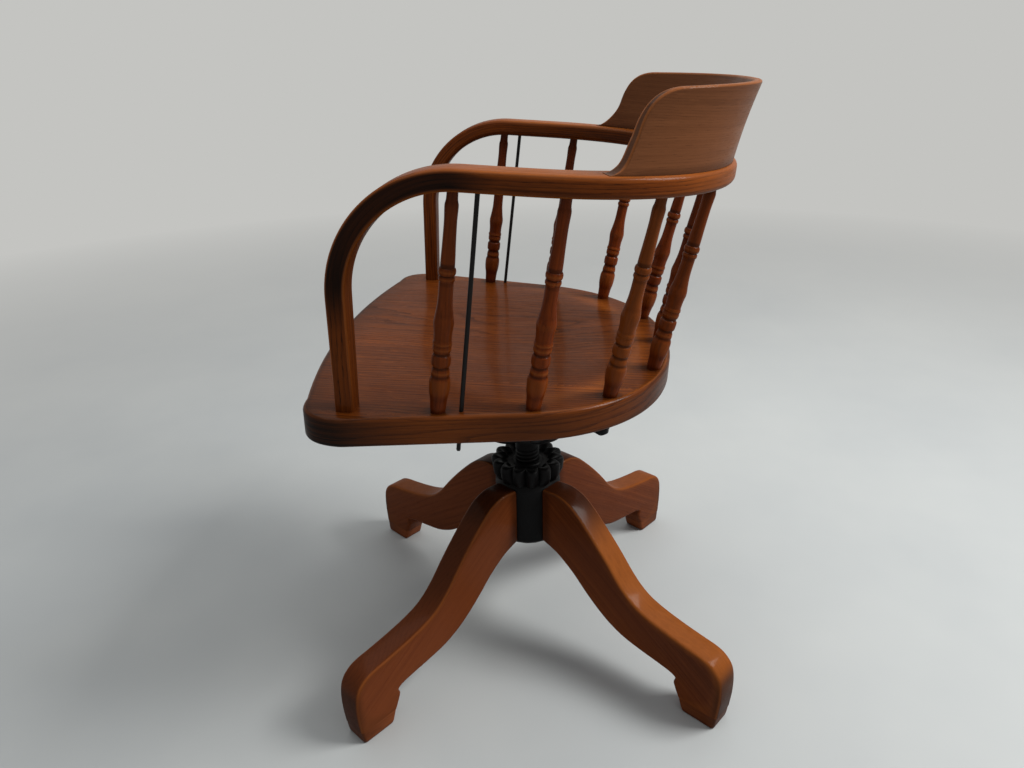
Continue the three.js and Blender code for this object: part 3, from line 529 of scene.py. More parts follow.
OAK_SEAT = oak(
    "oak_seat", rgb(150, 78, 24), rgb(114, 54, 15), rgb(56, 23, 6), (0.0, 0.11, 0.03), 240.0,
    figure=1.45, board_tone=0.6, coat=0.15
)  # fmt: skip
OAK_ARM = oak(
    "oak_arm", rgb(140, 70, 21), rgb(88, 39, 12), rgb(38, 14, 6), (0.0, 0.02, 0.05), figure=1.35
)  # fmt: skip
OAK_CREST = oak(
    "oak_crest", rgb(124, 77, 48), rgb(100, 60, 36), rgb(66, 37, 22), (0.0, 0.03, 0.04), 420.0,
    figure=0.42, board_tone=0.7
)  # fmt: skip
OAK_TURNED = oak(
    "oak_turned", rgb(122, 53, 17), rgb(88, 35, 10), rgb(46, 17, 6), (0.0, 0.03, 0.02), 260.0,
    gloss=0.32, figure=0.55
)  # fmt: skip
OAK_LEG = oak(
    "oak_leg", rgb(122, 62, 30), rgb(96, 46, 21), rgb(64, 29, 13), (0.0, 0.04, 0.07),
    figure=0.55, board_tone=0.45
)  # fmt: skip
OAK_BLOCK = oak(
    "oak_block", rgb(144, 78, 41), rgb(116, 59, 30), rgb(72, 37, 19), (0.0, 0.05, 0.02), figure=0.6
)  # fmt: skip
IRON = metal("iron_japanned", rgb(11, 10, 11), rgb(20, 18, 18), 0.46, 420.0, 0.05, 0.1)
STEEL = metal("steel_dark", rgb(18, 17, 17), rgb(32, 27, 24), 0.4, 900.0, 0.25, 0.2)


# Seat
def seat_track():
    front_y = -SEAT_FRONT
    corner_y = front_y + SEAT_BOW
    corner_x = SEAT_HALF_WIDTH - SEAT_CORNER
    side_top = np.array((SEAT_HALF_WIDTH, corner_y + SEAT_CORNER))
    waist = np.array(SEAT_WAIST)
    handle = waist + unit(waist - side_top) * SEAT_BULGE
    parts = [
        bezier([(0, front_y), (corner_x / 2, front_y), (corner_x, corner_y)], 200),
        bezier([(corner_x, corner_y), (SEAT_HALF_WIDTH, corner_y), side_top], 120),
        bezier([side_top, waist], 60),
        bezier([waist, handle, (SEAT_BACK_HANDLE, SEAT_BACK), (0, SEAT_BACK)], 400),
    ]
    return Track(np.concatenate([parts[0]] + [part[1:] for part in parts[1:]]))


SEAT_EDGE = seat_track()


def inset_seat_point(share, inset, side):
    step = 1e-3
    point = SEAT_EDGE.at(share)
    tangent = unit(SEAT_EDGE.at(min(1, share + step)) - SEAT_EDGE.at(share - step))
    x = point[0] - tangent[1] * inset
    y = point[1] + tangent[0] * inset
    return placed(SEAT_FRAME, (side * x, y, 0))


def saddle(x, y):
    """How far the seat's top is hollowed at a place."""
    u = x / SADDLE_HALF_WIDTH
    v = (y - SADDLE_CENTRE_Y) / SADDLE_HALF_LENGTH
    inside = np.clip(1 - (u * u + v * v), 0, 1)
    return -SADDLE_DEPTH * inside**2


def seat_rings(outline):
    """Rings from the middle of the underside, round the edge, to the middle of the saddle."""
    tangent = np.roll(outline, -1, axis=0) - np.roll(outline, 1, axis=0)
    tangent /= np.linalg.norm(tangent, axis=1)[:, None]
    inward = np.stack([-tangent[:, 1], tangent[:, 0]], axis=1)
    centre = np.array((0.0, SADDLE_CENTRE_Y))
    reach = outline + inward * SEAT_ROUND - centre
    rings = [(centre + reach * share, -SEAT_THICKNESS) for share in (0.02, 0.5, 0.9)]
    turns = [QUARTER_TURN * step / SEAT_ROUND_STEPS for step in range(SEAT_ROUND_STEPS + 1)]
    edge = [(math.sin(t), SEAT_ROUND * (1 - math.cos(t)) - SEAT_THICKNESS) for t in turns]
    edge += [(math.cos(t), -SEAT_ROUND * (1 - math.sin(t))) for t in turns]
    rings += [(outline + inward * (SEAT_ROUND * (1 - out)), z) for out, z in edge]
    for share in np.linspace(1, 0.01, 60)[1:]:
        inner = centre + reach * share
        rings.append((inner, saddle(inner[:, 0], inner[:, 1])))
    return [np.column_stack([plan, np.full(len(plan), z)]) for plan, z in rings]


def make_seat():
    half = SEAT_EDGE.at(np.linspace(0, 1, 150))
    outline = np.concatenate([half, half[1:-1][::-1] * (-1, 1)])
    around = len(outline)
    rings = seat_rings(outline)
    steps = SEAT_ROUND_STEPS
    points = np.array(rings).reshape(-1, 3)
    x, y, z = points.T
    board = np.floor((x + 3.4 * SEAT_BOARD_WIDTH) / SEAT_BOARD_WIDTH)
    grain = np.column_stack([y + board * 731.0, x - board * 17.0, z + board * 41.0])
    first, last = 3 * around, (3 + 2 * steps) * around
    run = np.cumsum(np.linalg.norm(np.roll(outline, -1, axis=0) - outline, axis=1))
    along_edge = np.tile(np.minimum(run, run[-1] - run), 2 * steps)
    edge_grain = (along_edge, 2.2 * z[first:last], 340 + 0.03 * x[first:last])
    grain[first:last] = np.column_stack(edge_grain)
    edge_run = np.tile(np.linspace(0, 1, around), len(rings))
    # Dirt and painted shade round the edge, patchy along it.
    grime_and_shade = 0.6 + 0.22 * np.sin(edge_run * 31) * np.sin(edge_run * 17 + 1)
    # Painted shade: darker towards the front, which faces away from the window lamp.
    grime_and_shade = grime_and_shade + 0.3 * smoothstep(-60, -190, y)
    stain_and_shade = np.repeat(rim_grime_and_shade(len(rings), steps), around) * grime_and_shade
    reach = np.hypot(x / SADDLE_HALF_WIDTH, (y - SADDLE_CENTRE_Y) / SADDLE_HALF_LENGTH)
    behind = (z > -SADDLE_DEPTH - 1) * smoothstep(-60, 60, y)
    # Painted shade on the slope just inside the saddle's edge, over the back half.
    stain_and_shade = np.maximum(stain_and_shade, 0.2 * smoothstep(1.0, 0.9, reach) * behind)
    world = placed(SEAT_FRAME, points)
    # Painted shade on the seat round each spindle foot.
    for share in FOOT_SHARES:
        for side in (1, -1):
            away = np.linalg.norm(world - inset_seat_point(share, SPINDLE_INSET, side), axis=1)
            stain_and_shade = np.maximum(stain_and_shade, 0.6 * smoothstep(22, 9, away))
    # Wear and a painted highlight: a thin pale line along the top arris, stronger towards the back.
    corner = np.zeros(len(rings))
    corner[2 * steps + 2 : 2 * steps + 5] = (0.1, 0.5, 0.15)
    patchy = 0.75 + 0.25 * np.sin(edge_run * 210) * np.sin(edge_run * 67 + 2)
    wear_and_highlight = np.repeat(corner, around) * smoothstep(-170, 40, y) * patchy
    # Painted highlight: a pale line just outside the saddle's edge, over the back half.
    wear_and_highlight = np.maximum(wear_and_highlight, 0.2 * np.exp(-(((reach - 1.05) / 0.06) ** 2)) * behind)
    stain_and_shade = np.clip(stain_and_shade, 0, 1) * (1 - 0.6 * wear_and_highlight)
    faces = loft_faces(rings)
    new_mesh("seat_board", "seat", world, faces, "upper", "oak", OAK_SEAT, grain, stain_and_shade, wear_and_highlight)


def rim_grime_and_shade(count, steps):
    """How much dirt and painted shade each ring of the seat holds: all of the underside and the low
    part of the edge, less up the edge, and fading across a band of the top.
    """
    levels = np.zeros(count)
    levels[: steps + 4] = 1.0
    levels[steps + 4 : 2 * steps + 5] = np.linspace(0.95, 0.62, steps + 1)
    levels[2 * steps + 5 : 2 * steps + 14] = np.linspace(0.38, 0.03, 9)
    return levels


# Arm bow
def arm_track():
    turns = np.linspace(0, QUARTER_TURN, 1200)
    power = 2 / ARM_POWER
    curve = np.column_stack(
        [
            ARM_HALF_SPAN * np.abs(np.cos(turns)) ** power,
            ARM_CURVE_Y + (ARM_BACK - ARM_CURVE_Y) * np.abs(np.sin(turns)) ** power,
        ]
    )
    curve[-1, 0] = 0
    start = bezier([(ARM_HALF_SPAN, POST_Y + BEND_RADIUS), (ARM_HALF_SPAN, ARM_CURVE_Y)], 60)
    return Track(np.concatenate([start[:-1], curve]))


ARM_EDGE = arm_track()


def arm_plan(distance):
    """Outer edge points and inward normals at signed distances from the back's centre."""
    distance = np.atleast_1d(np.asarray(distance, float))
    side = np.where(distance < 0, -1.0, 1.0)
    share = 1 - np.abs(distance) / ARM_EDGE.length
    spread = 4.0 / ARM_EDGE.length
    tangent = ARM_EDGE.at(share + spread) - ARM_EDGE.at(share - spread)
    tangent[share > 1 - 1e-6] = (-1, 0)
    tangent /= np.linalg.norm(tangent, axis=1)[:, None]
    edge = ARM_EDGE.at(share)
    edge = np.column_stack([edge[:, 0] * side, edge[:, 1]])
    inward = np.column_stack([-tangent[:, 1] * side, tangent[:, 0]])
    return edge, inward


def arm_point(distance, inset, height):
    edge, inward = arm_plan(distance)
    plan = edge + inward * inset
    return np.column_stack([plan, np.full(len(plan), float(height))])


def bow_rings(side):
    """Sections of the post and the bend on one side, from the seat up, with their runs."""
    middle_x = ARM_HALF_SPAN - ARM_WIDTH / 2
    centre_y = POST_Y + BEND_RADIUS
    arm_middle = ARM_THICKNESS / 2
    lean = -math.radians(ARM_FALL)
    bend = QUARTER_TURN - lean
    low = arm_middle - BEND_RADIUS + BEND_RADIUS * math.sin(lean)
    start = np.array((middle_x, centre_y - BEND_RADIUS * math.cos(lean), low))
    down = np.array((0, -math.sin(lean), -math.cos(lean)))
    drop = placed(ARM_TO_SEAT, start)[2]
    bend_length = BEND_RADIUS * bend
    whole = drop + bend_length
    rings, runs = [], []

    def add(centre, up, run):
        share = run / whole
        width = ARM_WIDTH + (POST_WIDTH - ARM_WIDTH) * share
        thickness = ARM_THICKNESS + (POST_THICKNESS - ARM_THICKNESS) * share
        round_radius = ARM_ROUND + (POST_ROUND - ARM_ROUND) * share
        section = rounded_section(width, thickness, round_radius)
        rings.append(swept(centre * (side, 1, 1), section, (side, 0, 0), up))
        runs.append(run)

    post_steps, bend_steps = 30, 40
    for i in range(post_steps + 1):
        run = drop * (1 - i / post_steps)
        add(start + down * run, (0, -math.cos(lean), math.sin(lean)), bend_length + run)
    for i in range(1, bend_steps):
        turn = lean + bend * i / bend_steps
        up = np.array((0, -math.cos(turn), math.sin(turn)))
        centre = np.array((middle_x, centre_y, arm_middle - BEND_RADIUS)) + up * BEND_RADIUS
        add(centre, up, bend_length * (1 - i / bend_steps))
    return rings, runs


def make_arm_bow():
    rings, runs = bow_rings(1)
    runs = [ARM_EDGE.length + run for run in runs]
    section = rounded_section(ARM_WIDTH, ARM_THICKNESS, ARM_ROUND)
    stations = np.linspace(ARM_EDGE.length, -ARM_EDGE.length, 181)
    _, inward = arm_plan(stations)
    centres = arm_point(stations, ARM_WIDTH / 2, ARM_THICKNESS / 2)
    for distance, normal, centre in zip(stations, inward, centres):
        rings.append(swept(centre, section, (-normal[0], -normal[1], 0), (0, 0, 1)))
        runs.append(distance)
    other, other_runs = bow_rings(-1)
    rings += other[::-1]
    runs += [-ARM_EDGE.length - run for run in other_runs[::-1]]
    around = len(section)
    points = np.array(rings).reshape(-1, 3)
    run = np.repeat(np.array(runs), around)
    across = np.tile(section[:, 0], len(rings))
    up = np.tile(section[:, 1], len(rings))
    grain = np.column_stack([run, across, up])
    reach = np.abs(run) - ARM_EDGE.length
    outer = smoothstep(ARM_WIDTH / 2 - 5, ARM_WIDTH / 2 - 1.5, across)
    band = smoothstep(ARM_THICKNESS / 2 - 0.5, ARM_THICKNESS / 2 - 4, np.abs(up))
    bend_dark = smoothstep(-70, 10, reach) * smoothstep(265, 170, reach)
    stain_and_shade = 0.97 * outer * band * bend_dark
    stain_and_shade = np.maximum(stain_and_shade, 0.36 * outer * band * smoothstep(-240, -60, reach))
    inner = smoothstep(ARM_WIDTH / 2 - 5, ARM_WIDTH / 2 - 1.5, -across)
    stain_and_shade = np.maximum(stain_and_shade, 0.34 * inner * smoothstep(40, -60, reach))
    # Painted shade: darker towards the arm's underside.
    stain_and_shade = np.maximum(stain_and_shade, 0.35 * smoothstep(-2, -ARM_THICKNESS / 2, up))
    stain_and_shade = np.maximum(stain_and_shade, 0.5 * smoothstep(330, 372, reach))
    # Wear and a painted highlight: the top is lighter, up to the bend.
    wear_and_highlight = 0.5 * smoothstep(5, ARM_THICKNESS / 2, up) * smoothstep(70, -40, reach)
    # Painted highlight along both outer arrises, fading down the post.
    rim_highlight = smoothstep(ARM_WIDTH / 2 - 6, ARM_WIDTH / 2 - 2, across)
    rim_highlight = rim_highlight * smoothstep(ARM_THICKNESS / 2 - 4, ARM_THICKNESS / 2 - 0.5, np.abs(up))
    wear_and_highlight = np.maximum(wear_and_highlight, 0.5 * rim_highlight * smoothstep(340, 250, reach))
    # Painted sheen on the outer face along the back.
    wear_and_highlight = np.maximum(wear_and_highlight, 0.3 * outer * band * smoothstep(-170, -300, reach))
    faces = loft_faces(rings, flipped=True)
    stain_and_shade, wear_and_highlight = np.clip(stain_and_shade, 0, 1), np.clip(wear_and_highlight, 0, 1)
    world = placed(ARM_FRAME, points)
    new_mesh("arm_bow_bent", "arm_bow", world, faces, "upper", "oak", OAK_ARM, grain, stain_and_shade, wear_and_highlight)


# Crest rail
SWEEP_SHARES = np.concatenate(
    [
        bezier([(0, 0), (0.14, 0), (0.33, 0.2), (0.42, 0.48)], 34),
        bezier([(0.42, 0.48), (0.5, 0.84), (0.64, 1.0), (1, 1)], 34)[1:],
    ]
)
SWEEP_SHIFT = {1: 5.5, -1: -4.5}
CREST_LEVEL = (
    placed(ARM_FRAME, (0, ARM_BACK - ARM_WIDTH / 2, ARM_THICKNESS))[2] + CREST_HEIGHT
)


def crest_ring(distance, rise):
    _, inward = arm_plan(distance)
    base = placed(ARM_FRAME, arm_point(distance, CREST_INSET, ARM_THICKNESS))[0]
    full = CREST_LEVEL - base[2]
    height = max(CREST_TOE, rise * full)
    backness = abs(inward[0, 1])
    lean = CREST_SIDE_LEAN + (CREST_BACK_LEAN - CREST_SIDE_LEAN) * backness
    slope = math.tan(math.radians(lean))
    round_radius = min(CREST_ROUND, height / 3)
    shoulder = height - round_radius

    def edge_at(h, share):
        thickness = CREST_FOOT + (CREST_TOP - CREST_FOOT) * h / full
        hollow = CREST_HOLLOW * math.sin(math.pi * min(1, h / full))
        inset = CREST_INSET - slope * h + hollow + thickness * share
        return arm_point(distance, inset, ARM_THICKNESS + h)[0]

    section = [edge_at(shoulder * s, 0) for s in np.linspace(0, 1, 9)]
    steps = 5
    top_thickness = CREST_FOOT + (CREST_TOP - CREST_FOOT) * height / full
    share = round_radius / top_thickness
    for step in range(1, steps + 1):
        turn = QUARTER_TURN * step / steps
        h = shoulder + round_radius * math.sin(turn)
        section.append(edge_at(h, share * (1 - math.cos(turn))))
    section += [edge_at(height, part) for part in np.linspace(share, 1 - share, 7)[1:-1]]
    for step in range(steps + 1):
        turn = QUARTER_TURN * (1 - step / steps)
        h = shoulder + round_radius * math.sin(turn)
        section.append(edge_at(h, 1 - share * (1 - math.cos(turn))))
    section += [edge_at(shoulder * s, 1) for s in np.linspace(1, 0, 9)[1:]]
    return np.array(section)


def make_crest():
    ends = {}
    for side, shift in SWEEP_SHIFT.items():
        reach = CREST_HALF_LENGTH - CREST_SWEEP * SWEEP_SHARES[:, 0]
        reach += shift * smoothstep(0, 0.4, SWEEP_SHARES[:, 1])
        ends[side] = list(zip(side * reach, SWEEP_SHARES[:, 1]))
    spread = np.linspace(ends[1][-1][0], ends[-1][-1][0], 110)[1:-1]
    stations = ends[1] + [(distance, 1.0) for distance in spread] + ends[-1][::-1]
    rings = [crest_ring(distance, rise) for distance, rise in stations]
    around = len(rings[0])
    points = np.array(rings).reshape(-1, 3)
    run = np.repeat([distance for distance, _ in stations], around)
    across = np.tile(np.linspace(0, 1, around), len(rings)) * 30 * 0.3
    up = points[:, 2]
    grain = np.column_stack([run, across, up])
    # Painted shadow: a dark line along the crest's foot, where it stands on the arm.
    low = smoothstep(3, 0, up - ARM_THICKNESS)
    place = np.tile(np.arange(around), len(rings))
    rise = np.repeat([rise for _, rise in stations], around)
    # Painted highlight along the top.
    top = ((place >= 10) & (place <= 23)).astype(float)
    # Painted shade: a dark band across the middle of the sweep's end face.
    face = smoothstep(1.0, 0.93, rise) * ((place >= 14) & (place <= 18))
    stain_and_shade = np.maximum(0.45 * low, 0.45 * face)
    # The end face's inner edge takes a stronger painted highlight.
    wear_and_highlight = top * (0.45 + 0.3 * (place >= 19) * smoothstep(1.0, 0.9, rise)) * (1 - face)
    faces = loft_faces(rings, flipped=True)
    world = placed(ARM_FRAME, points)
    names = ("crest_rail_swept", "crest_rail")
    new_mesh(*names, world, faces, "upper", "oak", OAK_CREST, grain, stain_and_shade, wear_and_highlight)


# Spindles: a smooth body in shares of the length, with beads on it
BODY_SHARES = (
    (0.0, 7.9), (0.02, 8.4), (0.065, 9.2), (0.1, 10.6), (0.14, 11.1), (0.165, 10.7),
    (0.181, 9.4), (0.2, 8.9), (0.22, 8.5), (0.228, 8.5), (0.233, 9.6), (0.255, 10.1),
    (0.279, 9.8), (0.284, 8.4), (0.292, 8.4), (0.298, 9.1), (0.325, 9.3), (0.349, 9.2),
    (0.383, 9.35), (0.432, 10.4), (0.475, 9.0), (0.525, 7.6), (0.6, 7.25), (0.69, 7.25),
    (0.78, 6.65), (0.87, 6.3), (0.935, 6.75), (0.96, 5.7), (1.0, 5.5),
)  # fmt: skip
BEAD_SHARES = (
    (0.2, 0.0165, 0.7), (0.3125, 0.0145, 0.5), (0.3385, 0.0105, 0.8),
    (0.63, 0.0115, 1.1), (0.662, 0.0165, 1.6),
)  # fmt: skip


def spindle_profile(length):
    shares, radii = np.array(BODY_SHARES).T
    along = np.linspace(0, 1, 300)
    index = np.clip(np.searchsorted(shares, along, side="right") - 1, 0, len(shares) - 2)
    t = (along - shares[index]) / (shares[index + 1] - shares[index])
    slopes = np.gradient(radii, shares)
    flat = np.concatenate([[True], np.diff(np.sign(np.diff(radii))) != 0, [True]])
    slopes[flat] = 0
    span = shares[index + 1] - shares[index]
    limit = 3 * np.abs(np.diff(radii) / np.diff(shares))
    lead = np.clip(slopes[index], -limit[index], limit[index])
    trail = np.clip(slopes[index + 1], -limit[index], limit[index])
    radius = (
        (2 * t**3 - 3 * t**2 + 1) * radii[index]
        + (t**3 - 2 * t**2 + t) * span * lead
        + (-2 * t**3 + 3 * t**2) * radii[index + 1]
        + (t**3 - t**2) * span * trail
    )
    for centre, half, height in BEAD_SHARES:
        off = np.clip(1 - ((along - centre) / half) ** 2, 0, 1)
        radius = radius + height * np.sqrt(off)
    return radius, along * length


def aimed(start, end):
    """Axes of a shape drawn along +Z that stands on start and points at end."""
    z = unit(end - start)
    x = unit(np.cross((0, 1, 0), z))
    return np.column_stack([x, np.cross(z, x), z])


def spindle_ends(number, side):
    foot = inset_seat_point(FOOT_SHARES[number], SPINDLE_INSET, side)
    distance = HEAD_SHARES[number] * ARM_EDGE.length + HEAD_SHIFTS[number]
    return foot, arm_underside(distance, side)


def arm_underside(distance, side):
    """The middle of the arm's underside, also where the run goes on into the bend."""
    level = min(distance, ARM_EDGE.length)
    point = arm_point(side * level, ARM_WIDTH / 2, 0)[0]
    past = distance - level
    drop = BEND_RADIUS - math.sqrt(BEND_RADIUS**2 - past**2)
    return placed(ARM_FRAME, point - (0, past, drop))


SPINDLE_FADE = {"spindle_left_1": 0.08, "spindle_left_3": 0.26, "spindle_left_4": 0.1}


def make_spindle(name, number, side):
    foot, head = spindle_ends(number, side)
    length = np.linalg.norm(head - foot)
    radius, height = spindle_profile(length)
    radius = np.concatenate([[radius[0]], radius, [radius[-1]]])
    height = np.concatenate([[-SOCKET_DEPTH], height, [length + SOCKET_DEPTH]])
    steps = SPINDLE_STEPS
    rings = lathe(np.column_stack([radius, height]), steps)
    local = rings.reshape(-1, 3)
    points = local @ aimed(foot, head).T + foot
    start = rng.uniform(-400, 400, 3)
    turn = rng.uniform(0, 2 * math.pi)
    x, y, z = local.T
    grain = np.column_stack([z, *spun(x, y, turn)]) + start
    share = np.repeat(height / length, steps)
    groove = np.zeros(len(height))
    groove[1:-1] = smoothstep(0.6, 1.7, spindle_hull(radius)[1:-1] - radius[1:-1])
    stain_and_shade = 0.6 * np.repeat(groove, steps)
    stain_and_shade = np.maximum(stain_and_shade, 0.3 * smoothstep(0.88, 0.99, share))
    stain_and_shade = np.maximum(stain_and_shade, 0.45 * smoothstep(0.03, 0.0, share))
    # Painted highlights on the fattest parts, and thin painted highlight lines on the beads.
    spindle_wear_and_highlight = 0.2 * smoothstep(9.8, 11.2, radius)
    for centre, half, _ in BEAD_SHARES:
        spindle_wear_and_highlight = np.maximum(spindle_wear_and_highlight, 0.3 * np.exp(-(((height / length - centre) / half) ** 2) * 6))
    spindle_wear_and_highlight = np.repeat(spindle_wear_and_highlight, steps)
    spindle_wear_and_highlight = np.maximum(spindle_wear_and_highlight, SPINDLE_FADE.get(name, 0) * smoothstep(0.04, 0.2, share))
    faces = loft_faces(rings)
    new_mesh(
        name + "_turned", name, points, faces, "upper", "oak", OAK_TURNED, grain, stain_and_shade, spindle_wear_and_highlight
    )


def spindle_hull(radius):
    """The largest radius near each point, so that grooves stand out below it."""
    reach = 7
    padded = np.pad(radius, reach, mode="edge")
    windows = np.lib.stride_tricks.sliding_window_view(padded, 2 * reach + 1)
    return windows.max(axis=1)


def make_spindles():
    for number in range(len(FOOT_SHARES)):
        if number == len(FOOT_SHARES) - 1:
            make_spindle("spindle_back", number, 1)
            continue
        make_spindle(f"spindle_left_{number + 1}", number, 1)
        make_spindle(f"spindle_right_{number + 1}", number, -1)


def make_tie_rods():
    for side, name in ((1, "tie_rod_left"), (-1, "tie_rod_right")):
        foot = inset_seat_point(ROD_FOOT_SHARE, ROD_INSET, side)
        head = arm_underside(ROD_HEAD_SHARE * ARM_EDGE.length + ROD_HEAD_SHIFT, side)
        length = np.linalg.norm(head - foot)
        end = -SEAT_THICKNESS - ROD_TAIL
        profile = [(ROD_RADIUS * 0.2, end), (ROD_RADIUS * 0.8, end + 0.7)]
        profile += [(ROD_RADIUS, z) for z in np.linspace(end + 2.2, length + SOCKET_DEPTH, 60)]
        rings = lathe(profile, ROD_STEPS)
        points = rings.reshape(-1, 3) @ aimed(foot, head).T + foot
        new_mesh(name + "_bar", name, points, loft_faces(rings), "upper", "dark_steel", STEEL)


# Iron parts
def joined_loft(parts):
    """Points and faces of several closed lofts in one mesh."""
    points, faces = [], []
    total = 0
    for rings in parts:
        points.append(rings.reshape(-1, 3))
        faces += loft_faces(rings, total)
        total += len(points[-1])
    return np.concatenate(points), faces


def rounded_profile(corners, round_radius, steps=4):
    """A lathe profile with rounded convex and concave corners, from corner points."""
    corners = np.asarray(corners, float)
    result = [corners[0]]
    for before, corner, after in zip(corners, corners[1:], corners[2:]):
        lead, trail = before - corner, after - corner
        reach = min(round_radius, np.linalg.norm(lead) / 2.1, np.linalg.norm(trail) / 2.1)
        start, end = corner + unit(lead) * reach, corner + unit(trail) * reach
        result += list(bezier([start, corner, end], steps + 1))
    result.append(corners[-1])
    return np.array(result)


def disc_profile(inner, outer, low, high, round_radius):
    corners = [(inner, low), (outer, low), (outer, high), (inner, high)]
    return rounded_profile(corners, round_radius)


def iron_arm(end):
    """Sections of one arm of the seat iron, from inside the boss to a pad's middle."""
    outward = unit((end[0], end[1], 0))
    side_way = np.array((-outward[1], outward[0], 0))
    span = math.hypot(end[0], end[1])
    root = BOSS_BOTTOM + IRON_THICKNESS / 2 + GAP
    first, second = span * IRON_HANDLE_SHARE, span * (1 - IRON_HANDLE_SHARE)
    curve = bezier(
        [(BOSS_RADIUS / 2, root), (first, root), (second, end[2]), (span, end[2])],
        IRON_ARM_RINGS,
    )
    tangents = np.gradient(curve, axis=0)
    tangents /= np.linalg.norm(tangents, axis=1)[:, None]
    change = PAD_THICKNESS * 0.75 - IRON_THICKNESS
    rings = []
    for i, (point, tangent) in enumerate(zip(curve, tangents)):
        thickness = IRON_THICKNESS + change * i / (IRON_ARM_RINGS - 1)
        section = rounded_section(IRON_WIDTH, thickness, thickness / 2.6)
        centre = outward * point[0] + np.array((0, 0, point[1]))
        up = outward * -tangent[1] + np.array((0, 0, tangent[0]))
        rings.append(swept(centre, section, side_way, up))
    return np.array(rings)


def make_seat_iron():
    boss = disc_profile(PIVOT_BORE, BOSS_RADIUS, BOSS_BOTTOM, BOSS_BOTTOM + BOSS_HEIGHT, 2.5)
    parts = [lathe(boss, 48)]
    low = -SEAT_THICKNESS - GAP - PAD_THICKNESS
    pad = lathe(disc_profile(0.5, PAD_RADIUS, low, low + PAD_THICKNESS, 2.0), 32)
    for x, y in PADS:
        points = (pad + (x, y, 0)).reshape(-1, 3)
        parts.append(placed(SEAT_FRAME, points).reshape(pad.shape))
        parts.append(iron_arm(placed(SEAT_FRAME, (x, y, low + PAD_THICKNESS / 2))))
    points, faces = joined_loft(parts)
    new_mesh("seat_iron_cast", "seat_iron", points, faces, "upper", "cast_iron", IRON)


def new_iron(name, replaced, rings, body, capped):
    faces = loft_faces(rings, capped=capped)
    new_mesh(name, replaced, rings.reshape(-1, 3), faces, body, "cast_iron", IRON)


def make_screw():
    """A thread cut as a groove that winds up the shaft, below a plain neck and a collar."""
    angles = full_turn(SCREW_STEPS)
    step = THREAD_PITCH / RINGS_PER_THREAD
    heights = np.arange(SCREW_BOTTOM, COLLAR_BOTTOM - 8, step)[:, None]
    phase = heights / THREAD_PITCH - angles / (2 * math.pi)
    wave = np.abs((phase % 1) * 2 - 1)
    lead_in = smoothstep(SCREW_BOTTOM, SCREW_BOTTOM + 5, heights)
    run_out = smoothstep(COLLAR_BOTTOM - 9, COLLAR_BOTTOM - 14, heights)
    cut = THREAD_DEPTH * smoothstep(0.15, 0.85, wave)
    thread = turned_rings(SCREW_RADIUS - cut * (lead_in * run_out), heights, angles)
    boss_top = BOSS_BOTTOM + BOSS_HEIGHT
    corners = (
        (SCREW_RADIUS, heights[-1, 0] + 0.5), (SCREW_RADIUS, COLLAR_BOTTOM),
        (COLLAR_RADIUS, COLLAR_BOTTOM), (COLLAR_RADIUS, COLLAR_TOP), (PIVOT_RADIUS, COLLAR_TOP),
        (PIVOT_RADIUS, boss_top), (PIVOT_END_RADIUS, boss_top), (PIVOT_END_RADIUS, PIVOT_END),
        (1.0, PIVOT_END),
    )  # fmt: skip
    rings = np.concatenate([thread, lathe(rounded_profile(corners, 0.8), SCREW_STEPS)])
    new_iron("height_screw_threaded", "height_screw", rings, "screw", True)


def make_handwheel():
    """Corners hold a radius, a height and how far the lobes show there."""
    edge = WHEEL_HEIGHT / 9
    floor = WHEEL_HEIGHT - WHEEL_RECESS_DEPTH
    middle = (WHEEL_TOP_RADIUS + HUB_CROWN_RADIUS) / 2
    swell = WHEEL_HEIGHT * WHEEL_SWELL_SHARE
    corners = (
        (WHEEL_BORE, 0, 0), (HUB_CROWN_RADIUS, 0, 0.0),
        (middle, -WHEEL_DROOP, 0.6), (middle + edge, swell / 3, 0.9),
        (WHEEL_TOP_RADIUS, swell, 1), (WHEEL_TOP_RADIUS, WHEEL_HEIGHT - 1.6 * edge, 1),
        (WHEEL_TOP_RADIUS - 0.5 * edge, WHEEL_HEIGHT - 0.5 * edge, 1),
        (WHEEL_TOP_RADIUS - 2 * edge, WHEEL_HEIGHT, 1),
        (WHEEL_RECESS_RADIUS + edge, WHEEL_HEIGHT - edge / 2, 0.8),
        (WHEEL_RECESS_RADIUS - edge, floor, 0.6), (WHEEL_BOSS_RADIUS, floor, 0),
        (WHEEL_BOSS_RADIUS - edge / 2, WHEEL_HEIGHT - 2 * edge, 0),
        (WHEEL_BORE, WHEEL_HEIGHT - 2 * edge, 0),
    )  # fmt: skip
    radius, height = rounded_profile([(r, z) for r, z, _ in corners], 2.6, 5).T[:, :, None]
    along, known = np.linspace(0, 1, len(radius)), np.linspace(0, 1, len(corners))
    weights = np.interp(along, known, [w for _, _, w in corners])[:, None]
    angles = full_turn(WHEEL_LOBES * 16)
    hump = np.abs(np.sin(WHEEL_LOBES / 2 * angles)) ** 0.8
    radius = radius + WHEEL_LOBE * weights * (2 * hump - 1)
    height = height + (WHEEL_BOTTOM + WHEEL_WAVE * (weights - 0.5).clip(0) * (hump - 1))
    rings = turned_rings(radius, height, angles)
    new_iron("handwheel_lobed", "handwheel", rings, "wheel", False)


def make_hub():
    bore = SCREW_RADIUS + GAP
    corners = (
        (bore, HUB_BOTTOM), (HUB_RADIUS, HUB_BOTTOM), (HUB_RADIUS, HUB_TOP - HUB_CROWN_HEIGHT),
        (HUB_CROWN_RADIUS, HUB_TOP), (bore, HUB_TOP),
    )  # fmt: skip
    rings = lathe(rounded_profile(corners, 2.0), HUB_STEPS)
    new_iron("hub_cast", "hub_casting", rings, "base", False)


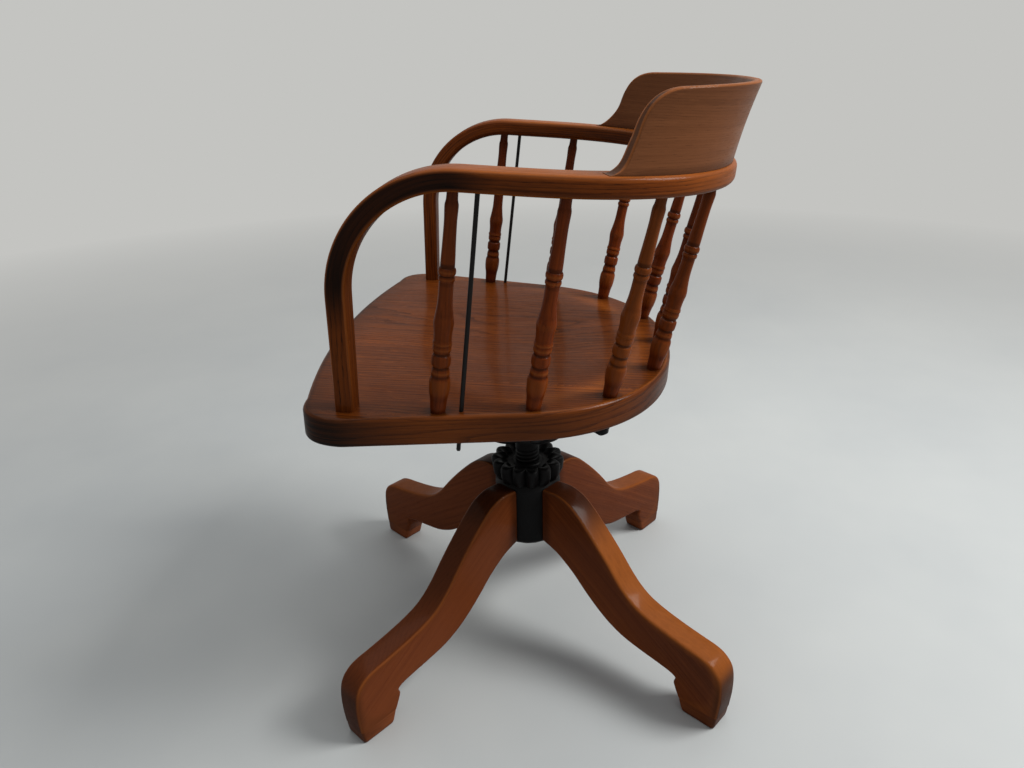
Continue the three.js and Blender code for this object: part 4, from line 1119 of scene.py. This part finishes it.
# Legs
BACK_SHARES = (
    (0.132, 0.972), (0.2, 0.979), (0.25, 0.964), (0.297, 0.928), (0.376, 0.83), (0.456, 0.716),
    (0.535, 0.592), (0.6, 0.52), (0.67, 0.481), (0.76, 0.452), (0.853, 0.43), (0.91, 0.418),
    (0.95, 0.398), (0.982, 0.355), (0.996, 0.292), (0.999, 0.194), (0.9925, 0.0802),
)  # fmt: skip
UNDER_SHARES = (
    (0.132, 0.624), (0.212, 0.584), (0.294, 0.509), (0.36, 0.428), (0.427, 0.355), (0.49, 0.301),
    (0.56, 0.262), (0.645, 0.239), (0.72, 0.225), (0.776, 0.212), (0.803, 0.194), (0.7985, 0.16),
    (0.807, 0.126), (0.8225, 0.0802),
)  # fmt: skip
MATCH_SHARES = ((0.0, 0.0), (0.62, 0.74), (0.74, 0.85), (0.86, 0.92), (1.0, 1.0))


def leg_tracks():
    scale = (LEG_REACH, HUB_TOP)
    back = Track(catmull(np.array(BACK_SHARES) * scale, 600))
    under = Track(catmull(np.array(UNDER_SHARES) * scale, 600))
    return back, under


def turned_about_axis(points, direction):
    x, y, z = points.T
    return np.column_stack([*spun(x, y, direction), z])


def make_leg(number, direction):
    back, under = leg_tracks()
    stations = 130
    share = np.linspace(0, 1, stations)
    back_known, under_known = np.array(MATCH_SHARES).T
    top = back.at(share)
    low = under.at(np.interp(share, back_known, under_known))
    rings = []
    for upper, lower in zip(top, low):
        span = np.linalg.norm(upper - lower)
        section = rounded_section(LEG_THICKNESS, span, LEG_ROUND, 8)
        way = (upper - lower) / span
        centre = (upper + lower) / 2
        x = centre[0] + section[:, 1] * way[0]
        z = centre[1] + section[:, 1] * way[1]
        rings.append(np.column_stack([x, section[:, 0], z]))
    around = len(rings[0])
    local = np.array(rings).reshape(-1, 3)
    x, y, z = local.T
    start = rng.uniform(-500, 500, 3)
    along, up = spun(x, z, math.radians(LEG_GRAIN_SLOPE))
    grain = np.column_stack([along, y, up]) + start
    toe = smoothstep(LEG_REACH - 14, LEG_REACH - 2, x) * smoothstep(96, 70, z)
    root = smoothstep(64, 50, x)
    stain_and_shade = np.maximum(0.72 * toe, 0.5 * root)
    on_top = smoothstep(6, 1, np.abs(np.repeat(top[:, 1], around) - z))
    run = np.repeat(share, around)
    # Painted light and painted shade on the top, leg by leg.
    wear_and_highlight = LEG_TOP_LIGHT[number - 1] * on_top * smoothstep(0.1, 0.3, run) * smoothstep(0.98, 0.8, run)
    stain_and_shade = np.maximum(stain_and_shade, LEG_TOP_SHADE[number - 1] * on_top)
    # Painted shadow on the tops near the hub, under the wheel.
    stain_and_shade = np.maximum(stain_and_shade, 0.72 * on_top * smoothstep(0.3, 0.12, run))
    # Painted highlight: a thin pale line along each arris of the top.
    ridge_highlight = np.exp(-(((LEG_THICKNESS / 2 - 1.4 - np.abs(y)) / 1.3) ** 2)) * on_top
    wear_and_highlight = np.maximum(wear_and_highlight, 0.45 * ridge_highlight)
    stain_and_shade = stain_and_shade * (1 - 0.7 * ridge_highlight)
    name = f"leg_{number}"
    points = turned_about_axis(local, direction)
    faces = loft_faces(rings)
    new_mesh(name + "_sawn", name, points, faces, "base", "oak", OAK_LEG, grain, stain_and_shade, wear_and_highlight)


def make_foot_block(number, direction):
    heel_top = UNDER_SHARES[-1][0] * LEG_REACH + BLOCK_STEP
    toe_top = BACK_SHARES[-1][0] * LEG_REACH - BLOCK_STEP
    rings = []
    for z, inset in BLOCK_LEVELS:
        share = 1 - z / BLOCK_HEIGHT
        heel = heel_top + (BLOCK_HEEL - heel_top) * share + inset
        toe = toe_top + (BLOCK_TOE - BLOCK_INSET - toe_top) * share - inset
        width = LEG_THICKNESS - 0.8 - 2 * inset
        across, along = rounded_section(width, toe - heel, LEG_ROUND - 0.5).T
        rings.append(np.column_stack([(toe + heel) / 2 + along, across, np.full(len(along), z)]))
    local = np.array(rings).reshape(-1, 3)
    grain = local + rng.uniform(-500, 500, 3)
    toe_dark = smoothstep(LEG_REACH - 16, LEG_REACH - 4, local[:, 0])
    stain_and_shade = np.maximum(0.66 * toe_dark, 0.5 * smoothstep(4, 0, local[:, 2]))
    name = f"foot_block_{number}"
    points = turned_about_axis(local, direction)
    faces = loft_faces(rings)
    new_mesh(name + "_glued", name, points, faces, "base", "dark_oak", OAK_BLOCK, grain, stain_and_shade)


def make_base():
    for number in range(1, LEG_COUNT + 1):
        direction = math.radians(LEG_ANGLE + 360 / LEG_COUNT * (number - 1))
        make_leg(number, direction)
        make_foot_block(number, direction)


def dress_hardware():
    """The small iron and steel parts keep their CAD shapes and take a finish."""
    for name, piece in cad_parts.items():
        piece.data.materials.clear()
        piece.data.materials.append(IRON if name == "hub_bottom_plate" else STEEL)


# Stage
BACKGROUND = rgb(196, 196, 193)
WORLD_FILL = 0.32
FLOOR_HALF = 60.0
LAMP_TARGET = (0, 0, 0.4)
LAMPS = (
    ("window", (0.0, 2.1, 2.4), 1.2, 82, (1.0, 0.99, 0.97)),
    ("ceiling", (-0.3, 0.0, 2.6), 3.2, 36, (1.0, 0.99, 0.98)),
)


def make_floor():
    """A pale floor that fades into the background far from the chair."""
    look, tree, shader = new_look("floor_pale")
    place = node(tree, "ShaderNodeTexCoord").outputs["Object"]
    cloud = noise(tree, place, 1.6, 4.0, 0.6)
    tone = mixed(tree, ranged(tree, cloud, 0.3, 0.75), rgb(178, 182, 183), rgb(190, 193, 192))
    feed(tree, shader, {"Base Color": tone, "Roughness": 0.6, "Specular IOR Level": 0.25})
    far = ranged(tree, vector_node(tree, "LENGTH", place)["Value"], 0.9, 3.4)
    glow = node(tree, "ShaderNodeEmission", {"Color": BACKGROUND, "Strength": 1.0})
    inputs = {0: far, 1: shader.outputs[0], 2: glow.outputs[0]}
    sweep = node(tree, "ShaderNodeMixShader", inputs)
    feed(tree, tree.nodes["Material Output"], {"Surface": sweep.outputs[0]})
    mesh = bpy.data.meshes.new("floor")
    corners = [(x * FLOOR_HALF, y * FLOOR_HALF, 0) for x, y in ((-1, -1), (1, -1), (1, 1), (-1, 1))]
    mesh.from_pydata(corners, [], [(0, 1, 2, 3)])
    mesh.materials.append(look)
    floor = new_object("floor", mesh)


def stand(holder, axes, place):
    """Sets an object at a place in metres, with its axes along three directions."""
    matrix = np.eye(4)
    matrix[:3, :3] = np.column_stack(axes)
    matrix[:3, 3] = place
    holder.matrix_world = Matrix(matrix.tolist())


def make_lights():
    for name, place, size, power, colour in LAMPS:
        lamp = bpy.data.lights.new(name, "AREA")
        lamp.shape = "RECTANGLE"
        lamp.size = lamp.size_y = size
        lamp.energy = power
        lamp.color = colour
        back = unit(np.subtract(place, LAMP_TARGET))
        right = unit(np.cross((0, 0, 1), back))
        stand(new_object(name, lamp), (right, np.cross(back, right), back), place)


def make_world():
    """A plain fill on the chair, and the background's colour where it is seen or mirrored."""
    world = bpy.data.worlds.new("studio")
    bpy.context.scene.world = world
    world.use_nodes = True
    tree = world.node_tree
    fill = tree.nodes["Background"]
    feed(tree, fill, {"Color": rgb(214, 216, 218), "Strength": WORLD_FILL})
    seen = node(tree, "ShaderNodeBackground", {"Color": BACKGROUND, "Strength": 1.0})
    path = node(tree, "ShaderNodeLightPath").outputs
    seen_rays = math_node(tree, "ADD", path["Is Camera Ray"], path["Is Glossy Ray"])
    seen_rays = math_node(tree, "ADD", seen_rays, path["Is Transmission Ray"], clamp=True)
    inputs = {0: seen_rays, 1: fill.outputs[0], 2: seen.outputs[0]}
    choice = node(tree, "ShaderNodeMixShader", inputs)
    feed(tree, tree.nodes["World Output"], {"Surface": choice.outputs[0]})


def make_camera():
    yaw, pitch, roll = (math.radians(a) for a in (CAMERA_YAW, CAMERA_PITCH, CAMERA_ROLL))
    forward = -np.array(
        (math.cos(yaw) * math.cos(pitch), math.sin(yaw) * math.cos(pitch), math.sin(pitch))
    )
    right = np.array((-math.sin(yaw), math.cos(yaw), 0))
    up = np.cross(right, forward)
    turned_right = math.cos(roll) * right + math.sin(roll) * up
    turned_up = -math.sin(roll) * right + math.cos(roll) * up
    camera = bpy.data.cameras.new("camera")
    camera.sensor_fit = "HORIZONTAL"
    camera.sensor_width = SENSOR_MM
    camera.lens = FOCAL_PX / IMAGE_WIDTH_PX * SENSOR_MM
    camera.clip_start = 0.01
    holder = new_object("camera", camera)
    stand(holder, (turned_right, turned_up, -forward), np.array(CAMERA_PLACE) * MM)
    bpy.context.scene.camera = holder


make_camera()
make_world()
make_floor()
make_lights()
make_seat()
make_arm_bow()
make_crest()
make_spindles()
make_tie_rods()
make_seat_iron()
make_screw()
make_handwheel()
make_hub()
make_base()
dress_hardware()
bpy.context.scene.view_settings.view_transform = "Standard"
